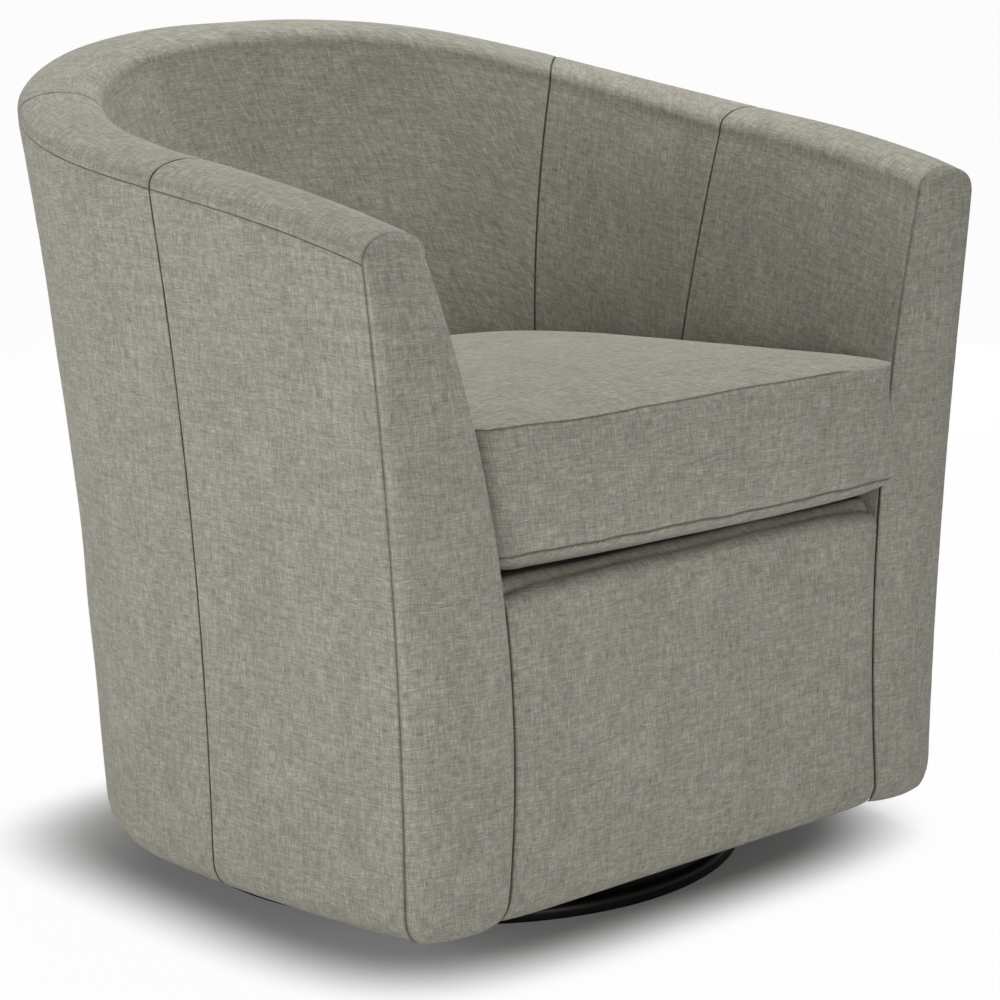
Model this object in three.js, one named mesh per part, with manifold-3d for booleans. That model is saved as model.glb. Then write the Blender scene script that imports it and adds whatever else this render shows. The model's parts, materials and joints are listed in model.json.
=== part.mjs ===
// Swivel barrel chair: an upholstered tub on a round turning base, with a loose seat cushion.
// Millimetres, +Z up. The front faces -Y, and left and right are as seen from the front.
// The origin is on the floor, on the swivel axis.
import * as THREE from 'three';
import { mergeVertices } from 'three/addons/utils/BufferGeometryUtils.js';
import Module from 'manifold-3d';

const wasm = await Module();
wasm.setup();

// Clearances
const gap = 0.3;
const seamGap = 0.4;
const layerGap = 1;
const postGap = 2.2;
const cushionClearance = 3;
const pinHeadClearance = 3;
const cutOverrun = 2;

// Tub: outer and inner faces of the wall, as sizes at the foot, the waist and the top. The arms start in
// front of the axis and toe in towards their fronts.
const groundClearance = 50;
const waistHeight = 400;
const overallHeight = 785;
const armHeight = 662;
const footHalfWidth = 376;
const waistHalfWidth = 375;
const topHalfWidth = 410;
const footBackDepth = 292;
const waistBackDepth = 307;
const topBackDepth = 379;
const footToeIn = 34;
const waistToeIn = 18;
const topToeIn = 24;
const footArmThickness = 96;
const waistArmThickness = 105;
const topArmThickness = 64;
const footSideThickness = 144;
const waistSideThickness = 124;
const topSideThickness = 57;
const footBackThickness = 235;
const waistBackThickness = 105;
const topBackThickness = 84;
const outerSeamDepth = 316;
const footSeamLead = 20;
const waistSeamLead = 11;
const topSeamSetBack = 8;
const armStartDepth = 11;
const footRoundness = 2.05;
const backRoundness = 2.57;
const backShare = 0.6;

// How the wall rounds under at its foot
const footTuck = 12;
const footTuckHeight = 32;
const footTuckPower = 3;

// Rim: heights that steer its fall from the back to the arm fronts, and its rounded top
const crestShoulderHeight = 717;
const crestSideHeight = 688;
const rimRise = 24;
const rimFullness = 0.8;

// Seams of the cover panels, measured round the outside from the middle of the back
const rearSeamRimRun = 361;
const rearSeamFootRun = 290;
const frontSeamRimRun = 603;
const frontSeamFootRun = 644;

// Layers of the wall
const coverThickness = 4;
const linerThickness = 3;
const postShare = 0.5;
const postWidth = 18;
const bandThickness = 12;
const frontCoverThickness = 3;
const frontPadThickness = 8;
const frontSwell = 12;
const frontSwellFade = 8;
const padEndShare = 0.01;
const endGap = 3;

// Boards of the seat box
const boardThickness = 18;
const dustCoverThickness = 1.2;
const frontBoardSetBack = 10;
const seatBoxHeight = 336;
const seatBoxHalfWidth = 175;
const seatBoxLength = 390;
const frontBoardInset = 2;
const boardEdgeInset = 1;
const seatSlope = Math.tan(THREE.MathUtils.degToRad(3.4));

// Seat springs and the layers over them
const springCount = 4;
const springSpacing = 80;
const springWire = 3.8;
const springSwing = 22;
const springWaves = 7;
const springSides = 4;
const springStepsPerWave = 8;
const clipBarThickness = 1.5;
const clipBarWidth = 14;
const clipBarOverhang = 20;
const seatPadThickness = 8;
const deckThickness = 3;
const tackRingThickness = 15;
const tackRingLip = 15;
const deckEdgeInset = 1.5;

// Front rail under the cushion
const railTopHeight = 348;
const railCoverThickness = 3;
const railRadius = 12;
const railSetBack = 2;
const railSwell = 6;
const railSwellFade = 4;
const railCornerDrop = 8;
const railCornerFade = 8;
const railFlapLength = 40;

// Seat cushion, its heights measured square to its sloping base
const cushionOverhang = 21;
const cushionBow = 14;
const cushionCornerRadius = 28;
const cushionUnderRise = 20;
const cushionBoxing = 113;
const cushionCrown = 13;
const crownFlatness = 4;
const crownFullness = 0.6;
const cushionSwell = 4;
const cushionCoverThickness = 3;
const cushionCentreDepth = 56;
const zipHalfLength = 110;
const zipWidth = 10;

// Round base and the ball-bearing swivel on it
const baseRadius = 279;
const baseThickness = 15;
const baseChamfer = 5;
const baseFootChamfer = 1.5;
const hubRadius = 135;
const hubShare = 0.38;
const plateSize = 180;
const plateThickness = 3;
const plateCornerRadius = 12;
const ballDiameter = 8;
const ballCount = 12;
const ballCircleRadius = 46;
const cageHalfWidth = 7;
const cageThickness = 2;
const pinRadius = 6;
const pinHeadRadius = 11;
const pinHeadThickness = 3;
const lowerScrewOffset = 62;
const upperScrewOffset = 76;
const screwRadius = 2.5;
const screwHeadRadius = 5;
const screwHeadThickness = 2.4;
const screwLength = 10;

// Segments of the round pieces
const baseSegments = 48;
const spacerSegments = 40;
const cageSegments = 24;
const pinSegments = 16;
const screwSegments = 10;
const plateCornerSegments = 3;
const ballSegments = 8;

// Finishes
const fabric = { color: 0x8f8b80, roughness: 0.95, metalness: 0 };
const foam = { color: 0xe4dcb8, roughness: 0.9, metalness: 0 };
const timber = { color: 0xc9a676, roughness: 0.7, metalness: 0 };
const card = { color: 0xa58a62, roughness: 0.9, metalness: 0 };
const lining = { color: 0x1d1c1b, roughness: 0.95, metalness: 0 };
const felt = { color: 0x8a8a86, roughness: 1, metalness: 0 };
const darkWood = { color: 0x1e1613, roughness: 0.3, metalness: 0 };
const steel = { color: 0x8d9094, roughness: 0.4, metalness: 1 };
const springSteel = { color: 0x3a3b3d, roughness: 0.45, metalness: 1 };
const nylon = { color: 0xd8d6cf, roughness: 0.5, metalness: 0 };

// Meshes and solids

// Vertices shared and triangles without area left out, with only the places kept.
function tidy(geometry) {
  geometry.deleteAttribute('normal');
  geometry.deleteAttribute('uv');
  const merged = mergeVertices(geometry);
  const source = merged.index.array;
  const kept = [];
  for (let i = 0; i < source.length; i += 3) {
    const [a, b, c] = source.slice(i, i + 3);
    if (a !== b && b !== c && c !== a) {
      kept.push(a, b, c);
    }
  }
  merged.setIndex(kept);
  return merged;
}

function signedVolume(geometry) {
  const place = geometry.attributes.position;
  const index = geometry.index.array;
  const [a, b, c] = [new THREE.Vector3(), new THREE.Vector3(), new THREE.Vector3()];
  let sum = 0;
  for (let i = 0; i < index.length; i += 3) {
    a.fromBufferAttribute(place, index[i]);
    b.fromBufferAttribute(place, index[i + 1]);
    c.fromBufferAttribute(place, index[i + 2]);
    sum += a.dot(b.cross(c));
  }
  return sum;
}

// Closed body from points and triangles, turned so that its faces point out.
function body(points, triangles) {
  const geometry = new THREE.BufferGeometry();
  geometry.setAttribute('position', new THREE.Float32BufferAttribute(points.flat(), 3));
  geometry.setIndex(triangles);
  if (signedVolume(geometry) < 0) {
    geometry.setIndex(triangles.reverse());
  }
  return geometry;
}

// Solid between two faces. Each face is a function of s and t, from 0 to 1, that gives a point.
function slab(front, back, acrossSteps, upSteps) {
  const points = [];
  for (const face of [front, back]) {
    for (let i = 0; i <= acrossSteps; i++) {
      for (let j = 0; j <= upSteps; j++) {
        points.push(face(i / acrossSteps, j / upSteps));
      }
    }
  }
  const faceSize = (acrossSteps + 1) * (upSteps + 1);
  const at = (face, i, j) => face * faceSize + i * (upSteps + 1) + j;
  const triangles = [];
  const quad = (a, b, c, d) => triangles.push(a, b, c, a, c, d);
  for (let i = 0; i < acrossSteps; i++) {
    for (let j = 0; j < upSteps; j++) {
      quad(at(0, i, j), at(0, i + 1, j), at(0, i + 1, j + 1), at(0, i, j + 1));
      quad(at(1, i, j), at(1, i, j + 1), at(1, i + 1, j + 1), at(1, i + 1, j));
    }
    quad(at(0, i, 0), at(1, i, 0), at(1, i + 1, 0), at(0, i + 1, 0));
    quad(at(0, i, upSteps), at(0, i + 1, upSteps), at(1, i + 1, upSteps), at(1, i, upSteps));
  }
  for (let j = 0; j < upSteps; j++) {
    quad(at(0, 0, j), at(0, 0, j + 1), at(1, 0, j + 1), at(1, 0, j));
    quad(at(0, acrossSteps, j), at(1, acrossSteps, j), at(1, acrossSteps, j + 1), at(0, acrossSteps, j + 1));
  }
  return body(points, triangles);
}

// Solid through closed outlines of equal count, from the lowest to the highest, closed at two centres.
function loft(outlines, lowCentre, highCentre) {
  const count = outlines[0].length;
  const points = [...outlines.flat(), lowCentre, highCentre];
  const low = points.length - 2;
  const high = points.length - 1;
  const last = (outlines.length - 1) * count;
  const triangles = [];
  for (let k = 0; k < count; k++) {
    const next = (k + 1) % count;
    for (let row = 0; row < last; row += count) {
      triangles.push(row + k, row + next, row + count + next, row + k, row + count + next, row + count + k);
    }
    triangles.push(low, next, k, high, last + k, last + next);
  }
  return body(points, triangles);
}

// Body turned round a vertical axis at x, y, from [radius, height] points that start and end on the axis.
function turned(profile, segments, x = 0, y = 0) {
  const geometry = new THREE.LatheGeometry(profile.map(([r, z]) => new THREE.Vector2(r, z)), segments);
  geometry.rotateX(Math.PI / 2);
  geometry.translate(x, y, 0);
  const merged = tidy(geometry);
  if (signedVolume(merged) < 0) {
    merged.setIndex([...merged.index.array].reverse());
  }
  return merged;
}

function rod(radius, low, high, segments, x = 0, y = 0) {
  return turned([[0, low], [radius, low], [radius, high], [0, high]], segments, x, y);
}

// Outline shape extruded upwards between two heights.
function plate(shape, low, high, curveSegments) {
  const depth = high - low;
  const geometry = new THREE.ExtrudeGeometry(shape, { depth, bevelEnabled: false, curveSegments });
  geometry.translate(0, 0, low);
  return tidy(geometry);
}

function toSolid(geometry) {
  const vertProperties = new Float32Array(geometry.attributes.position.array);
  const triVerts = new Uint32Array(geometry.index.array);
  return new wasm.Manifold(new wasm.Mesh({ numProp: 3, vertProperties, triVerts }));
}

function toGeometry(solid) {
  const { vertProperties, triVerts } = solid.getMesh();
  const geometry = new THREE.BufferGeometry();
  geometry.setAttribute('position', new THREE.Float32BufferAttribute(vertProperties, 3));
  geometry.setIndex([...triVerts]);
  return geometry;
}

function cut(geometry, tools) {
  let solid = toSolid(geometry);
  for (const tool of tools) {
    solid = solid.subtract(toSolid(tool));
  }
  return toGeometry(solid);
}

function join(geometries) {
  let solid = toSolid(geometries[0]);
  for (const other of geometries.slice(1)) {
    solid = solid.add(toSolid(other));
  }
  return toGeometry(solid);
}

const chair = new THREE.Group();

function group() {
  const inner = new THREE.Group();
  chair.add(inner);
  return inner;
}

function add(parent, name, geometry, finish) {
  const mesh = new THREE.Mesh(geometry, new THREE.MeshStandardMaterial(finish));
  mesh.name = name;
  parent.add(mesh);
}

const lerp = THREE.MathUtils.lerp;
const between = (a, b, share) => a.map((value, i) => lerp(value, b[i], share));
const sides = [['left', -1], ['right', 1]];

// Wall of the tub

const tubLevels = [groundClearance, waistHeight, overallHeight];
const armLevels = [groundClearance, waistHeight, armHeight];

// Value at height z of the parabola through three sizes at three levels.
function atHeight([z0, z1, z2], [a0, a1, a2], z) {
  const low = (z - z1) * (z - z2) / ((z0 - z1) * (z0 - z2));
  const middle = (z - z0) * (z - z2) / ((z1 - z0) * (z1 - z2));
  const high = (z - z0) * (z - z1) / ((z2 - z0) * (z2 - z1));
  return a0 * low + a1 * middle + a2 * high;
}

// How far the wall is drawn in at height z, towards its foot.
const tuckAt = (z) => {
  return footTuck * Math.max(0, 1 - (z - groundClearance) / footTuckHeight) ** footTuckPower;
};

// Depths of an arm front's inner seam, which leads its outer seam at the foot and falls behind it at the top
const footInnerSeamDepth = outerSeamDepth + footSeamLead;
const waistInnerSeamDepth = outerSeamDepth + waistSeamLead;
const topInnerSeamDepth = outerSeamDepth - topSeamSetBack;
const innerSeamDepthAt = (z) => {
  return atHeight(armLevels, [footInnerSeamDepth, waistInnerSeamDepth, topInnerSeamDepth], z) - tuckAt(z);
};

const frontHalfWidths = [footHalfWidth - footToeIn, waistHalfWidth - waistToeIn, topHalfWidth - topToeIn];

// Plan of one face of the wall at height z. The back is a superellipse and the arms bend gently inwards.
// u runs from -1 at the left arm front through 0 at the middle of the back to 1 at the right arm front.
function wallPlan(u, z, inside) {
  let halfWidth = atHeight(tubLevels, [footHalfWidth, waistHalfWidth, topHalfWidth], z);
  let depth = atHeight(tubLevels, [footBackDepth, waistBackDepth, topBackDepth], z);
  let frontHalfWidth = atHeight(armLevels, frontHalfWidths, z);
  let front = -innerSeamDepthAt(z);
  if (inside) {
    halfWidth -= atHeight(tubLevels, [footSideThickness, waistSideThickness, topSideThickness], z);
    depth -= atHeight(tubLevels, [footBackThickness, waistBackThickness, topBackThickness], z);
    frontHalfWidth -= atHeight(armLevels, [footArmThickness, waistArmThickness, topArmThickness], z);
  } else {
    const tuck = tuckAt(z);
    halfWidth -= tuck;
    depth -= tuck;
    frontHalfWidth -= tuck;
    front = -outerSeamDepth;
  }
  const along = Math.abs(u);
  if (along < backShare) {
    const power = 2 / atHeight(tubLevels, [footRoundness, backRoundness, backRoundness], z);
    const angle = along / backShare * Math.PI / 2;
    const y = (depth + armStartDepth) * Math.cos(angle) ** power - armStartDepth;
    return [Math.sign(u) * halfWidth * Math.sin(angle) ** power, y];
  }
  const reach = (along - backShare) / (1 - backShare);
  const x = lerp(halfWidth, frontHalfWidth, reach ** 2);
  return [Math.sign(u) * x, lerp(-armStartDepth, front, reach)];
}

// Runs: lengths round the outside at the waist, from the middle of the back.
const runSteps = 600;
const runTable = [0];
for (let i = 1; i <= runSteps; i++) {
  const [x0, y0] = wallPlan((i - 1) / runSteps, waistHeight, false);
  const [x1, y1] = wallPlan(i / runSteps, waistHeight, false);
  runTable.push(runTable[i - 1] + Math.hypot(x1 - x0, y1 - y0));
}
const wallRun = runTable[runSteps];

function uAtRun(run) {
  const length = Math.min(Math.abs(run), wallRun);
  let i = 1;
  while (i < runSteps && runTable[i] < length) {
    i++;
  }
  const share = (length - runTable[i - 1]) / (runTable[i] - runTable[i - 1]);
  return Math.sign(run) * (i - 1 + share) / runSteps;
}

function runAtU(u) {
  const place = u * runSteps;
  const i = Math.min(Math.floor(place), runSteps - 1);
  return lerp(runTable[i], runTable[i + 1], place - i);
}

function wallThickness(run, z) {
  const u = uAtRun(run);
  const [x0, y0] = wallPlan(u, z, false);
  const [x1, y1] = wallPlan(u, z, true);
  return Math.hypot(x1 - x0, y1 - y0);
}

// Point in the wall, at a depth from its outer face. Past the wall's thickness it lies in the seat space.
function wallPoint(run, z, depth) {
  const u = uAtRun(run);
  const [x, y] = between(wallPlan(u, z, false), wallPlan(u, z, true), depth / wallThickness(run, z));
  return [x, y, z];
}

// Point in the wall, at a depth from its inner face.
const innerPoint = (run, z, depth) => wallPoint(run, z, wallThickness(run, z) - depth);

// Height of the seam just under the rim: a cubic of how far back the place lies.
function rimSeamHeight(run) {
  const [, front] = wallPlan(1, armHeight, false);
  const [, back] = wallPlan(0, armHeight, false);
  const [, here] = wallPlan(uAtRun(run), armHeight, false);
  const t = (here - front) / (back - front);
  const s = 1 - t;
  const middle = 3 * crestShoulderHeight * t * s ** 2 + 3 * crestSideHeight * t ** 2 * s;
  return armHeight * s ** 3 + middle + overallHeight * t ** 3 - rimRise;
}

// Run where the inner face of an arm lies as far back as y.
function armRunAt(y, z) {
  const [, front] = wallPlan(1, z, true);
  return runAtU(backShare + (1 - backShare) * (y + armStartDepth) / (front + armStartDepth));
}

// Point on the rounded rim, v from 0 at the outer seam to 1 at the inner edge, at a depth under its surface.
function rimPoint(run, v, depth) {
  const seam = rimSeamHeight(run);
  const across = (1 - Math.cos(Math.PI * v)) / 2;
  const rise = (rimRise - depth) * Math.max(0, Math.sin(Math.PI * v)) ** rimFullness;
  const [x, y] = between(wallPoint(run, seam, depth), innerPoint(run, seam, depth), across);
  return [x, y, seam + rise];
}

// Layers, as depths from the outer face
const linerDepth = coverThickness + seamGap;
const postDepth = linerDepth + linerThickness + postGap;
const padInset = coverThickness + gap;
const postInnerDepth = (run, z) => {
  return postDepth + (wallThickness(run, z) - postDepth - padInset) * postShare;
};

// Runs of the layers behind the arm fronts
const coverEndRun = wallRun - frontCoverThickness - layerGap;
const postFrontRun = coverEndRun - frontPadThickness - layerGap;
const postBackRun = postFrontRun - postWidth;
const padEndRun = postBackRun - endGap;

// Heights of the seat's layers, over a seat box whose top slopes down to the back
const frontBoardDepth = outerSeamDepth - frontBoardSetBack;
const railFlapDepth = frontBoardDepth - railFlapLength;
const deckHeight = (y, offset) => seatBoxHeight + offset - seatSlope * (y + frontBoardDepth);
const springOffset = gap + springWire / 2;
const clipOffset = gap + springWire + gap;
const padOffset = clipOffset + clipBarThickness + gap;
const deckOffset = padOffset + seatPadThickness + gap;
const seatOffset = deckOffset + Math.max(deckThickness, railCoverThickness) + gap;
const boardLow = groundClearance + dustCoverThickness + gap;
const boardHigh = boardLow + boardThickness;
const boxLow = boardHigh + gap;
const boxFront = -frontBoardDepth + boardThickness + gap;

// Height where a layer of the seat meets the inner face of the wall.
function wallDeckHeight(run, offset) {
  const [, y] = innerPoint(run, seatBoxHeight, 0);
  return deckHeight(y, offset);
}

// Height where the inside cover ends: on the seat, and at the arm fronts below the front rail's corner.
function insideCoverLow(run) {
  const [, y] = innerPoint(run, seatBoxHeight, 0);
  const forward = (y - boxFront) / (-innerSeamDepthAt(seatBoxHeight) - boxFront);
  const cornerLow = railTopHeight - 2 * railRadius - railCornerDrop;
  return lerp(deckHeight(y, seatOffset), cornerLow, Math.max(0, forward));
}

// Cover panels between the seams, which lean between the foot and the rim
const seams = [
  { foot: -wallRun, rim: -wallRun },
  { foot: -frontSeamFootRun, rim: -frontSeamRimRun },
  { foot: -rearSeamFootRun, rim: -rearSeamRimRun },
  { foot: rearSeamFootRun, rim: rearSeamRimRun },
  { foot: frontSeamFootRun, rim: frontSeamRimRun },
  { foot: wallRun, rim: wallRun },
];
const panelNames = ['front_left', 'rear_left', 'back', 'rear_right', 'front_right'];
const panelSteps = [6, 6, 10, 6, 6];
const stepsBefore = (panel) => panelSteps.slice(0, panel).reduce((sum, steps) => sum + steps, 0);
const panelStarts = panelSteps.map((_, panel) => stepsBefore(panel));
const wallSteps = stepsBefore(panelSteps.length);
const tuckShares = [0, 0.13, 0.3, 0.55, 1];
const tuckRows = tuckShares.length - 1;
const outerRows = tuckRows + 5;
const rimRows = 7;
const innerRows = 6;
const postRows = 6;
const armFrontCoverSteps = 8;
const armFrontCoverRows = tuckRows + 9;
const armFrontPadSteps = 6;
const armFrontPadRows = tuckRows + 5;

// Height of a place among a layer's rows: the first rows follow the tuck, the others are even up to its top.
function rowHeight(t, rows, top) {
  const row = t * rows;
  if (row < tuckRows) {
    const i = Math.floor(row);
    return groundClearance + footTuckHeight * lerp(tuckShares[i], tuckShares[i + 1], row - i);
  }
  return lerp(groundClearance + footTuckHeight, top, (row - tuckRows) / (rows - tuckRows));
}

function seamRun(seam, z) {
  const climb = (z - groundClearance) / (armHeight - groundClearance);
  return lerp(seams[seam].foot, seams[seam].rim, Math.min(climb, 1));
}

// Run inside a panel, s from 0 at its left seam to 1 at its right seam, ending short of both.
function panelRun(panel, s, z) {
  const run = lerp(seamRun(panel, z) + seamGap / 2, seamRun(panel + 1, z) - seamGap / 2, s);
  return THREE.MathUtils.clamp(run, -coverEndRun, coverEndRun);
}

// Run of a station that the wall's layers share, from 0 at the left arm front to wallSteps at the right.
function stationRun(station, z, end) {
  let panel = 0;
  while (panel < panelSteps.length - 1 && station >= panelStarts[panel + 1]) {
    panel++;
  }
  const s = (station - panelStarts[panel]) / panelSteps[panel];
  return THREE.MathUtils.clamp(lerp(seamRun(panel, z), seamRun(panel + 1, z), s), -end, end);
}

function outsideCover(panel) {
  const face = (depth) => (s, t) => {
    const guess = panelRun(panel, s, armHeight);
    const z = rowHeight(t, outerRows, rimSeamHeight(guess) - gap);
    return wallPoint(panelRun(panel, s, z), z, depth);
  };
  return slab(face(0), face(coverThickness), panelSteps[panel], outerRows);
}

// The inside cover starts at the outer seam, wraps over the rim and runs down to the seat.
function insideCover(panel) {
  const rimShare = rimRows / (rimRows + innerRows);
  const face = (depth) => (s, t) => {
    const run = panelRun(panel, s, armHeight);
    if (t <= rimShare) {
      return rimPoint(run, t / rimShare, depth);
    }
    const down = (t - rimShare) / (1 - rimShare);
    return innerPoint(run, lerp(rimSeamHeight(run), insideCoverLow(run), down), depth);
  };
  return slab(face(0), face(coverThickness), panelSteps[panel], rimRows + innerRows);
}

// Face of an arm front's layer, from the outer seam to the inner seam and from the foot to the rim.
function armFrontFace(side, rows, { behind, inset, swell }) {
  const run = side * (wallRun - behind);
  const seam = rimSeamHeight(run);
  return (s, t) => {
    const round = 2 * Math.sqrt(s * (1 - s));
    const top = seam + (rimRise - inset) * round ** rimFullness;
    const z = rowHeight(t, rows, top);
    const fade = ((z - groundClearance) / (top - groundClearance)) ** frontSwellFade;
    const level = Math.min(z, seam);
    const [x, y] = between(wallPoint(run, level, inset), innerPoint(run, level, inset), s);
    return [x, y - swell * round * Math.sqrt(Math.max(0, 1 - fade)), z];
  };
}

function armFrontCover(side) {
  const face = (behind) => armFrontFace(side, armFrontCoverRows, { behind, inset: 0, swell: frontSwell });
  return slab(face(0), face(frontCoverThickness), armFrontCoverSteps, armFrontCoverRows);
}

function armFrontPad(side) {
  const inset = coverThickness + layerGap;
  const face = (behind, swell) => armFrontFace(side, armFrontPadRows, { behind, inset, swell });
  const back = face(wallRun - postFrontRun - layerGap, 0);
  return slab(face(wallRun - coverEndRun, frontSwell), back, armFrontPadSteps, armFrontPadRows);
}

// Upright across the wall between two lines of runs, from the bottom board to the band.
function post(lineA, lineB, innerDepth) {
  const face = (line) => (s, t) => {
    const z = lerp(boxLow, rimSeamHeight(line(armHeight)) - bandThickness - gap, t);
    return wallPoint(line(z), z, lerp(postDepth, innerDepth(line(z), z), s));
  };
  return slab(face(lineA), face(lineB), 1, postRows);
}

const tub = group();
panelNames.forEach((name, panel) => {
  add(tub, `outside_cover_${name}`, outsideCover(panel), fabric);
  add(tub, `inside_cover_${name}`, insideCover(panel), fabric);
});
const frontPostInner = (run, z) => wallThickness(run, z) - padInset - layerGap;
for (const [name, side] of sides) {
  add(tub, `arm_front_cover_${name}`, armFrontCover(side), fabric);
  add(tub, `arm_front_pad_${name}`, armFrontPad(side), foam);
  const armPost = post(() => side * postBackRun, () => side * postFrontRun, frontPostInner);
  add(tub, `arm_post_${name}`, armPost, timber);
}

// Posts behind the seams and one in the middle of the back
const postLines = {
  side_post_left: (z) => seamRun(1, z),
  rear_post_left: (z) => seamRun(2, z),
  back_post: () => 0,
  rear_post_right: (z) => seamRun(3, z),
  side_post_right: (z) => seamRun(4, z),
};
for (const [name, line] of Object.entries(postLines)) {
  const upright = post((z) => line(z) - postWidth / 2, (z) => line(z) + postWidth / 2, postInnerDepth);
  add(tub, name, upright, timber);
}

// Bent band that caps the posts, the foam over it and the stiff liner round the outside
function topBand() {
  const face = (drop) => (s, t) => {
    const run = stationRun(s * wallSteps, armHeight, postFrontRun);
    const z = rimSeamHeight(run) - drop;
    return wallPoint(run, z, lerp(postDepth, postInnerDepth(run, z), t));
  };
  return slab(face(0), face(bandThickness), wallSteps, 1);
}

function rimPad() {
  const run = (s) => stationRun(s * wallSteps, armHeight, postFrontRun);
  const top = (s, t) => rimPoint(run(s), lerp(1, rimRows - 1, t) / rimRows, padInset);
  const under = (s, t) => {
    const [x, y] = top(s, t);
    return [x, y, rimSeamHeight(run(s)) + layerGap];
  };
  return slab(top, under, wallSteps, rimRows - 2);
}

function liner() {
  const face = (depth) => (s, t) => {
    const guess = stationRun(s * wallSteps, armHeight, postFrontRun);
    const z = rowHeight(t, outerRows, rimSeamHeight(guess) - gap);
    return wallPoint(stationRun(s * wallSteps, z, postFrontRun), z, depth);
  };
  return slab(face(linerDepth), face(linerDepth + linerThickness), wallSteps, outerRows);
}

// Foam between the posts and the inside cover, from the seat up to the rim, between two stations.
function insidePad(start, end) {
  const face = (outer) => (s, t) => {
    const station = lerp(start, end, s);
    const share = THREE.MathUtils.clamp(station, start + padEndShare, end - padEndShare);
    const run = stationRun(share, armHeight, padEndRun);
    const z = lerp(rimSeamHeight(run) - gap, insideCoverLow(run), t);
    return outer ? wallPoint(run, z, postInnerDepth(run, z) + layerGap) : innerPoint(run, z, padInset + gap);
  };
  return slab(face(true), face(false), end - start, innerRows);
}

// Ring that the pads stand on and the covers are tacked to. It follows the slope of the seat.
function tackRing() {
  const end = armRunAt(boxFront + endGap, seatBoxHeight);
  const face = (drop) => (s, t) => {
    const run = stationRun(s * wallSteps, armHeight, end);
    const z = wallDeckHeight(run, padOffset - gap) - drop;
    const inner = wallThickness(run, z) + tackRingLip;
    return wallPoint(run, z, lerp(postInnerDepth(run, z) + layerGap, inner, t));
  };
  return slab(face(0), face(tackRingThickness), wallSteps, 1);
}

add(tub, 'top_band', topBand(), timber);
add(tub, 'rim_pad', rimPad(), foam);
add(tub, 'outside_liner', liner(), card);
add(tub, 'inside_pad_left', insidePad(0, panelStarts[2]), foam);
add(tub, 'inside_pad_back', insidePad(panelStarts[2], panelStarts[3]), foam);
add(tub, 'inside_pad_right', insidePad(panelStarts[3], wallSteps), foam);
add(tub, 'tack_ring', tackRing(), timber);

// Bottom board, its dust cover and the seat box

// Closed outline of a level layer inside the wall: round the back, then straight across the front.
function floorOutline(z, inset, end) {
  const outline = [];
  for (let i = 0; i <= wallSteps; i++) {
    outline.push(wallPoint(stationRun(i, z, end), z, inset));
  }
  return outline;
}

function floorLayer(low, high, inset, end) {
  const outlines = [low, high].map((z) => floorOutline(z, inset, end));
  return loft(outlines, [0, 0, low], [0, 0, high]);
}

const screwPlaces = (offset) => [[-offset, -offset], [offset, -offset], [offset, offset], [-offset, offset]];
const screwHoles = (offset, low, high) => {
  return screwPlaces(offset).map(([x, y]) => rod(screwRadius + gap, low, high, screwSegments, x, y));
};

// Heights of the swivel, from the base up to the dust cover
const bearingHeight = plateThickness * 2 + ballDiameter + gap * 2;
const hubHeight = (groundClearance - baseThickness - bearingHeight - gap * 3) * hubShare;
const lowerPlateLow = baseThickness + hubHeight + gap;
const lowerPlateHigh = lowerPlateLow + plateThickness;
const upperPlateLow = lowerPlateHigh + ballDiameter + gap * 2;
const upperPlateHigh = upperPlateLow + plateThickness;
const spacerLow = upperPlateHigh + gap;
const spacerHigh = groundClearance - gap;
const upperScrewHigh = boardLow + boardThickness / 2;
const upperHoles = (low, high) => screwHoles(upperScrewOffset, low - cutOverrun, high + cutOverrun);

const dustCoverHigh = groundClearance + dustCoverThickness;
const dustCover = floorLayer(groundClearance, dustCoverHigh, postDepth, postFrontRun);
add(tub, 'dust_cover', cut(dustCover, upperHoles(groundClearance, dustCoverHigh)), lining);
const bottomBoard = floorLayer(boardLow, boardHigh, postDepth + boardEdgeInset, postFrontRun);
const boardHoles = screwHoles(upperScrewOffset, boardLow - cutOverrun, upperScrewHigh + gap);
add(tub, 'bottom_board', cut(bottomBoard, boardHoles), timber);

// Board standing in the seat box, its top cut to the slope of the seat.
function standingBoard(x0, x1, y0, y1, offset) {
  const outline = (z) => [[x0, y0, z(y0)], [x1, y0, z(y0)], [x1, y1, z(y1)], [x0, y1, z(y1)]];
  const middle = [(x0 + x1) / 2, (y0 + y1) / 2];
  const low = () => boxLow;
  const high = (y) => deckHeight(y, offset);
  return loft([outline(low), outline(high)], [...middle, boxLow], [...middle, high(middle[1])]);
}

// Half width between the arms, at their narrowest place beside the front board.
const narrowSteps = 20;
let armClearHalfWidth = footHalfWidth;
for (let i = 0; i <= narrowSteps; i++) {
  const [x] = innerPoint(wallRun, lerp(groundClearance, seatBoxHeight, i / narrowSteps), 0);
  armClearHalfWidth = Math.min(armClearHalfWidth, x);
}
const frontBoardHalf = armClearHalfWidth - frontBoardInset;
const backBoardFront = boxFront + seatBoxLength - boardThickness - gap;
const frontBoard = standingBoard(-frontBoardHalf, frontBoardHalf, -frontBoardDepth, boxFront - gap, 0);
add(tub, 'front_board', frontBoard, timber);
const boxEnd = backBoardFront + boardThickness;
const backBoard = standingBoard(-seatBoxHalfWidth, seatBoxHalfWidth, backBoardFront, boxEnd, 0);
add(tub, 'back_board', backBoard, timber);
for (const [name, side] of sides) {
  const outer = side * seatBoxHalfWidth;
  const inner = side * (seatBoxHalfWidth - boardThickness);
  const [x0, x1] = [Math.min(outer, inner), Math.max(outer, inner)];
  const sideBoard = standingBoard(x0, x1, boxFront, backBoardFront - gap, padOffset - gap);
  add(tub, `side_board_${name}`, sideBoard, timber);
}

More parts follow.
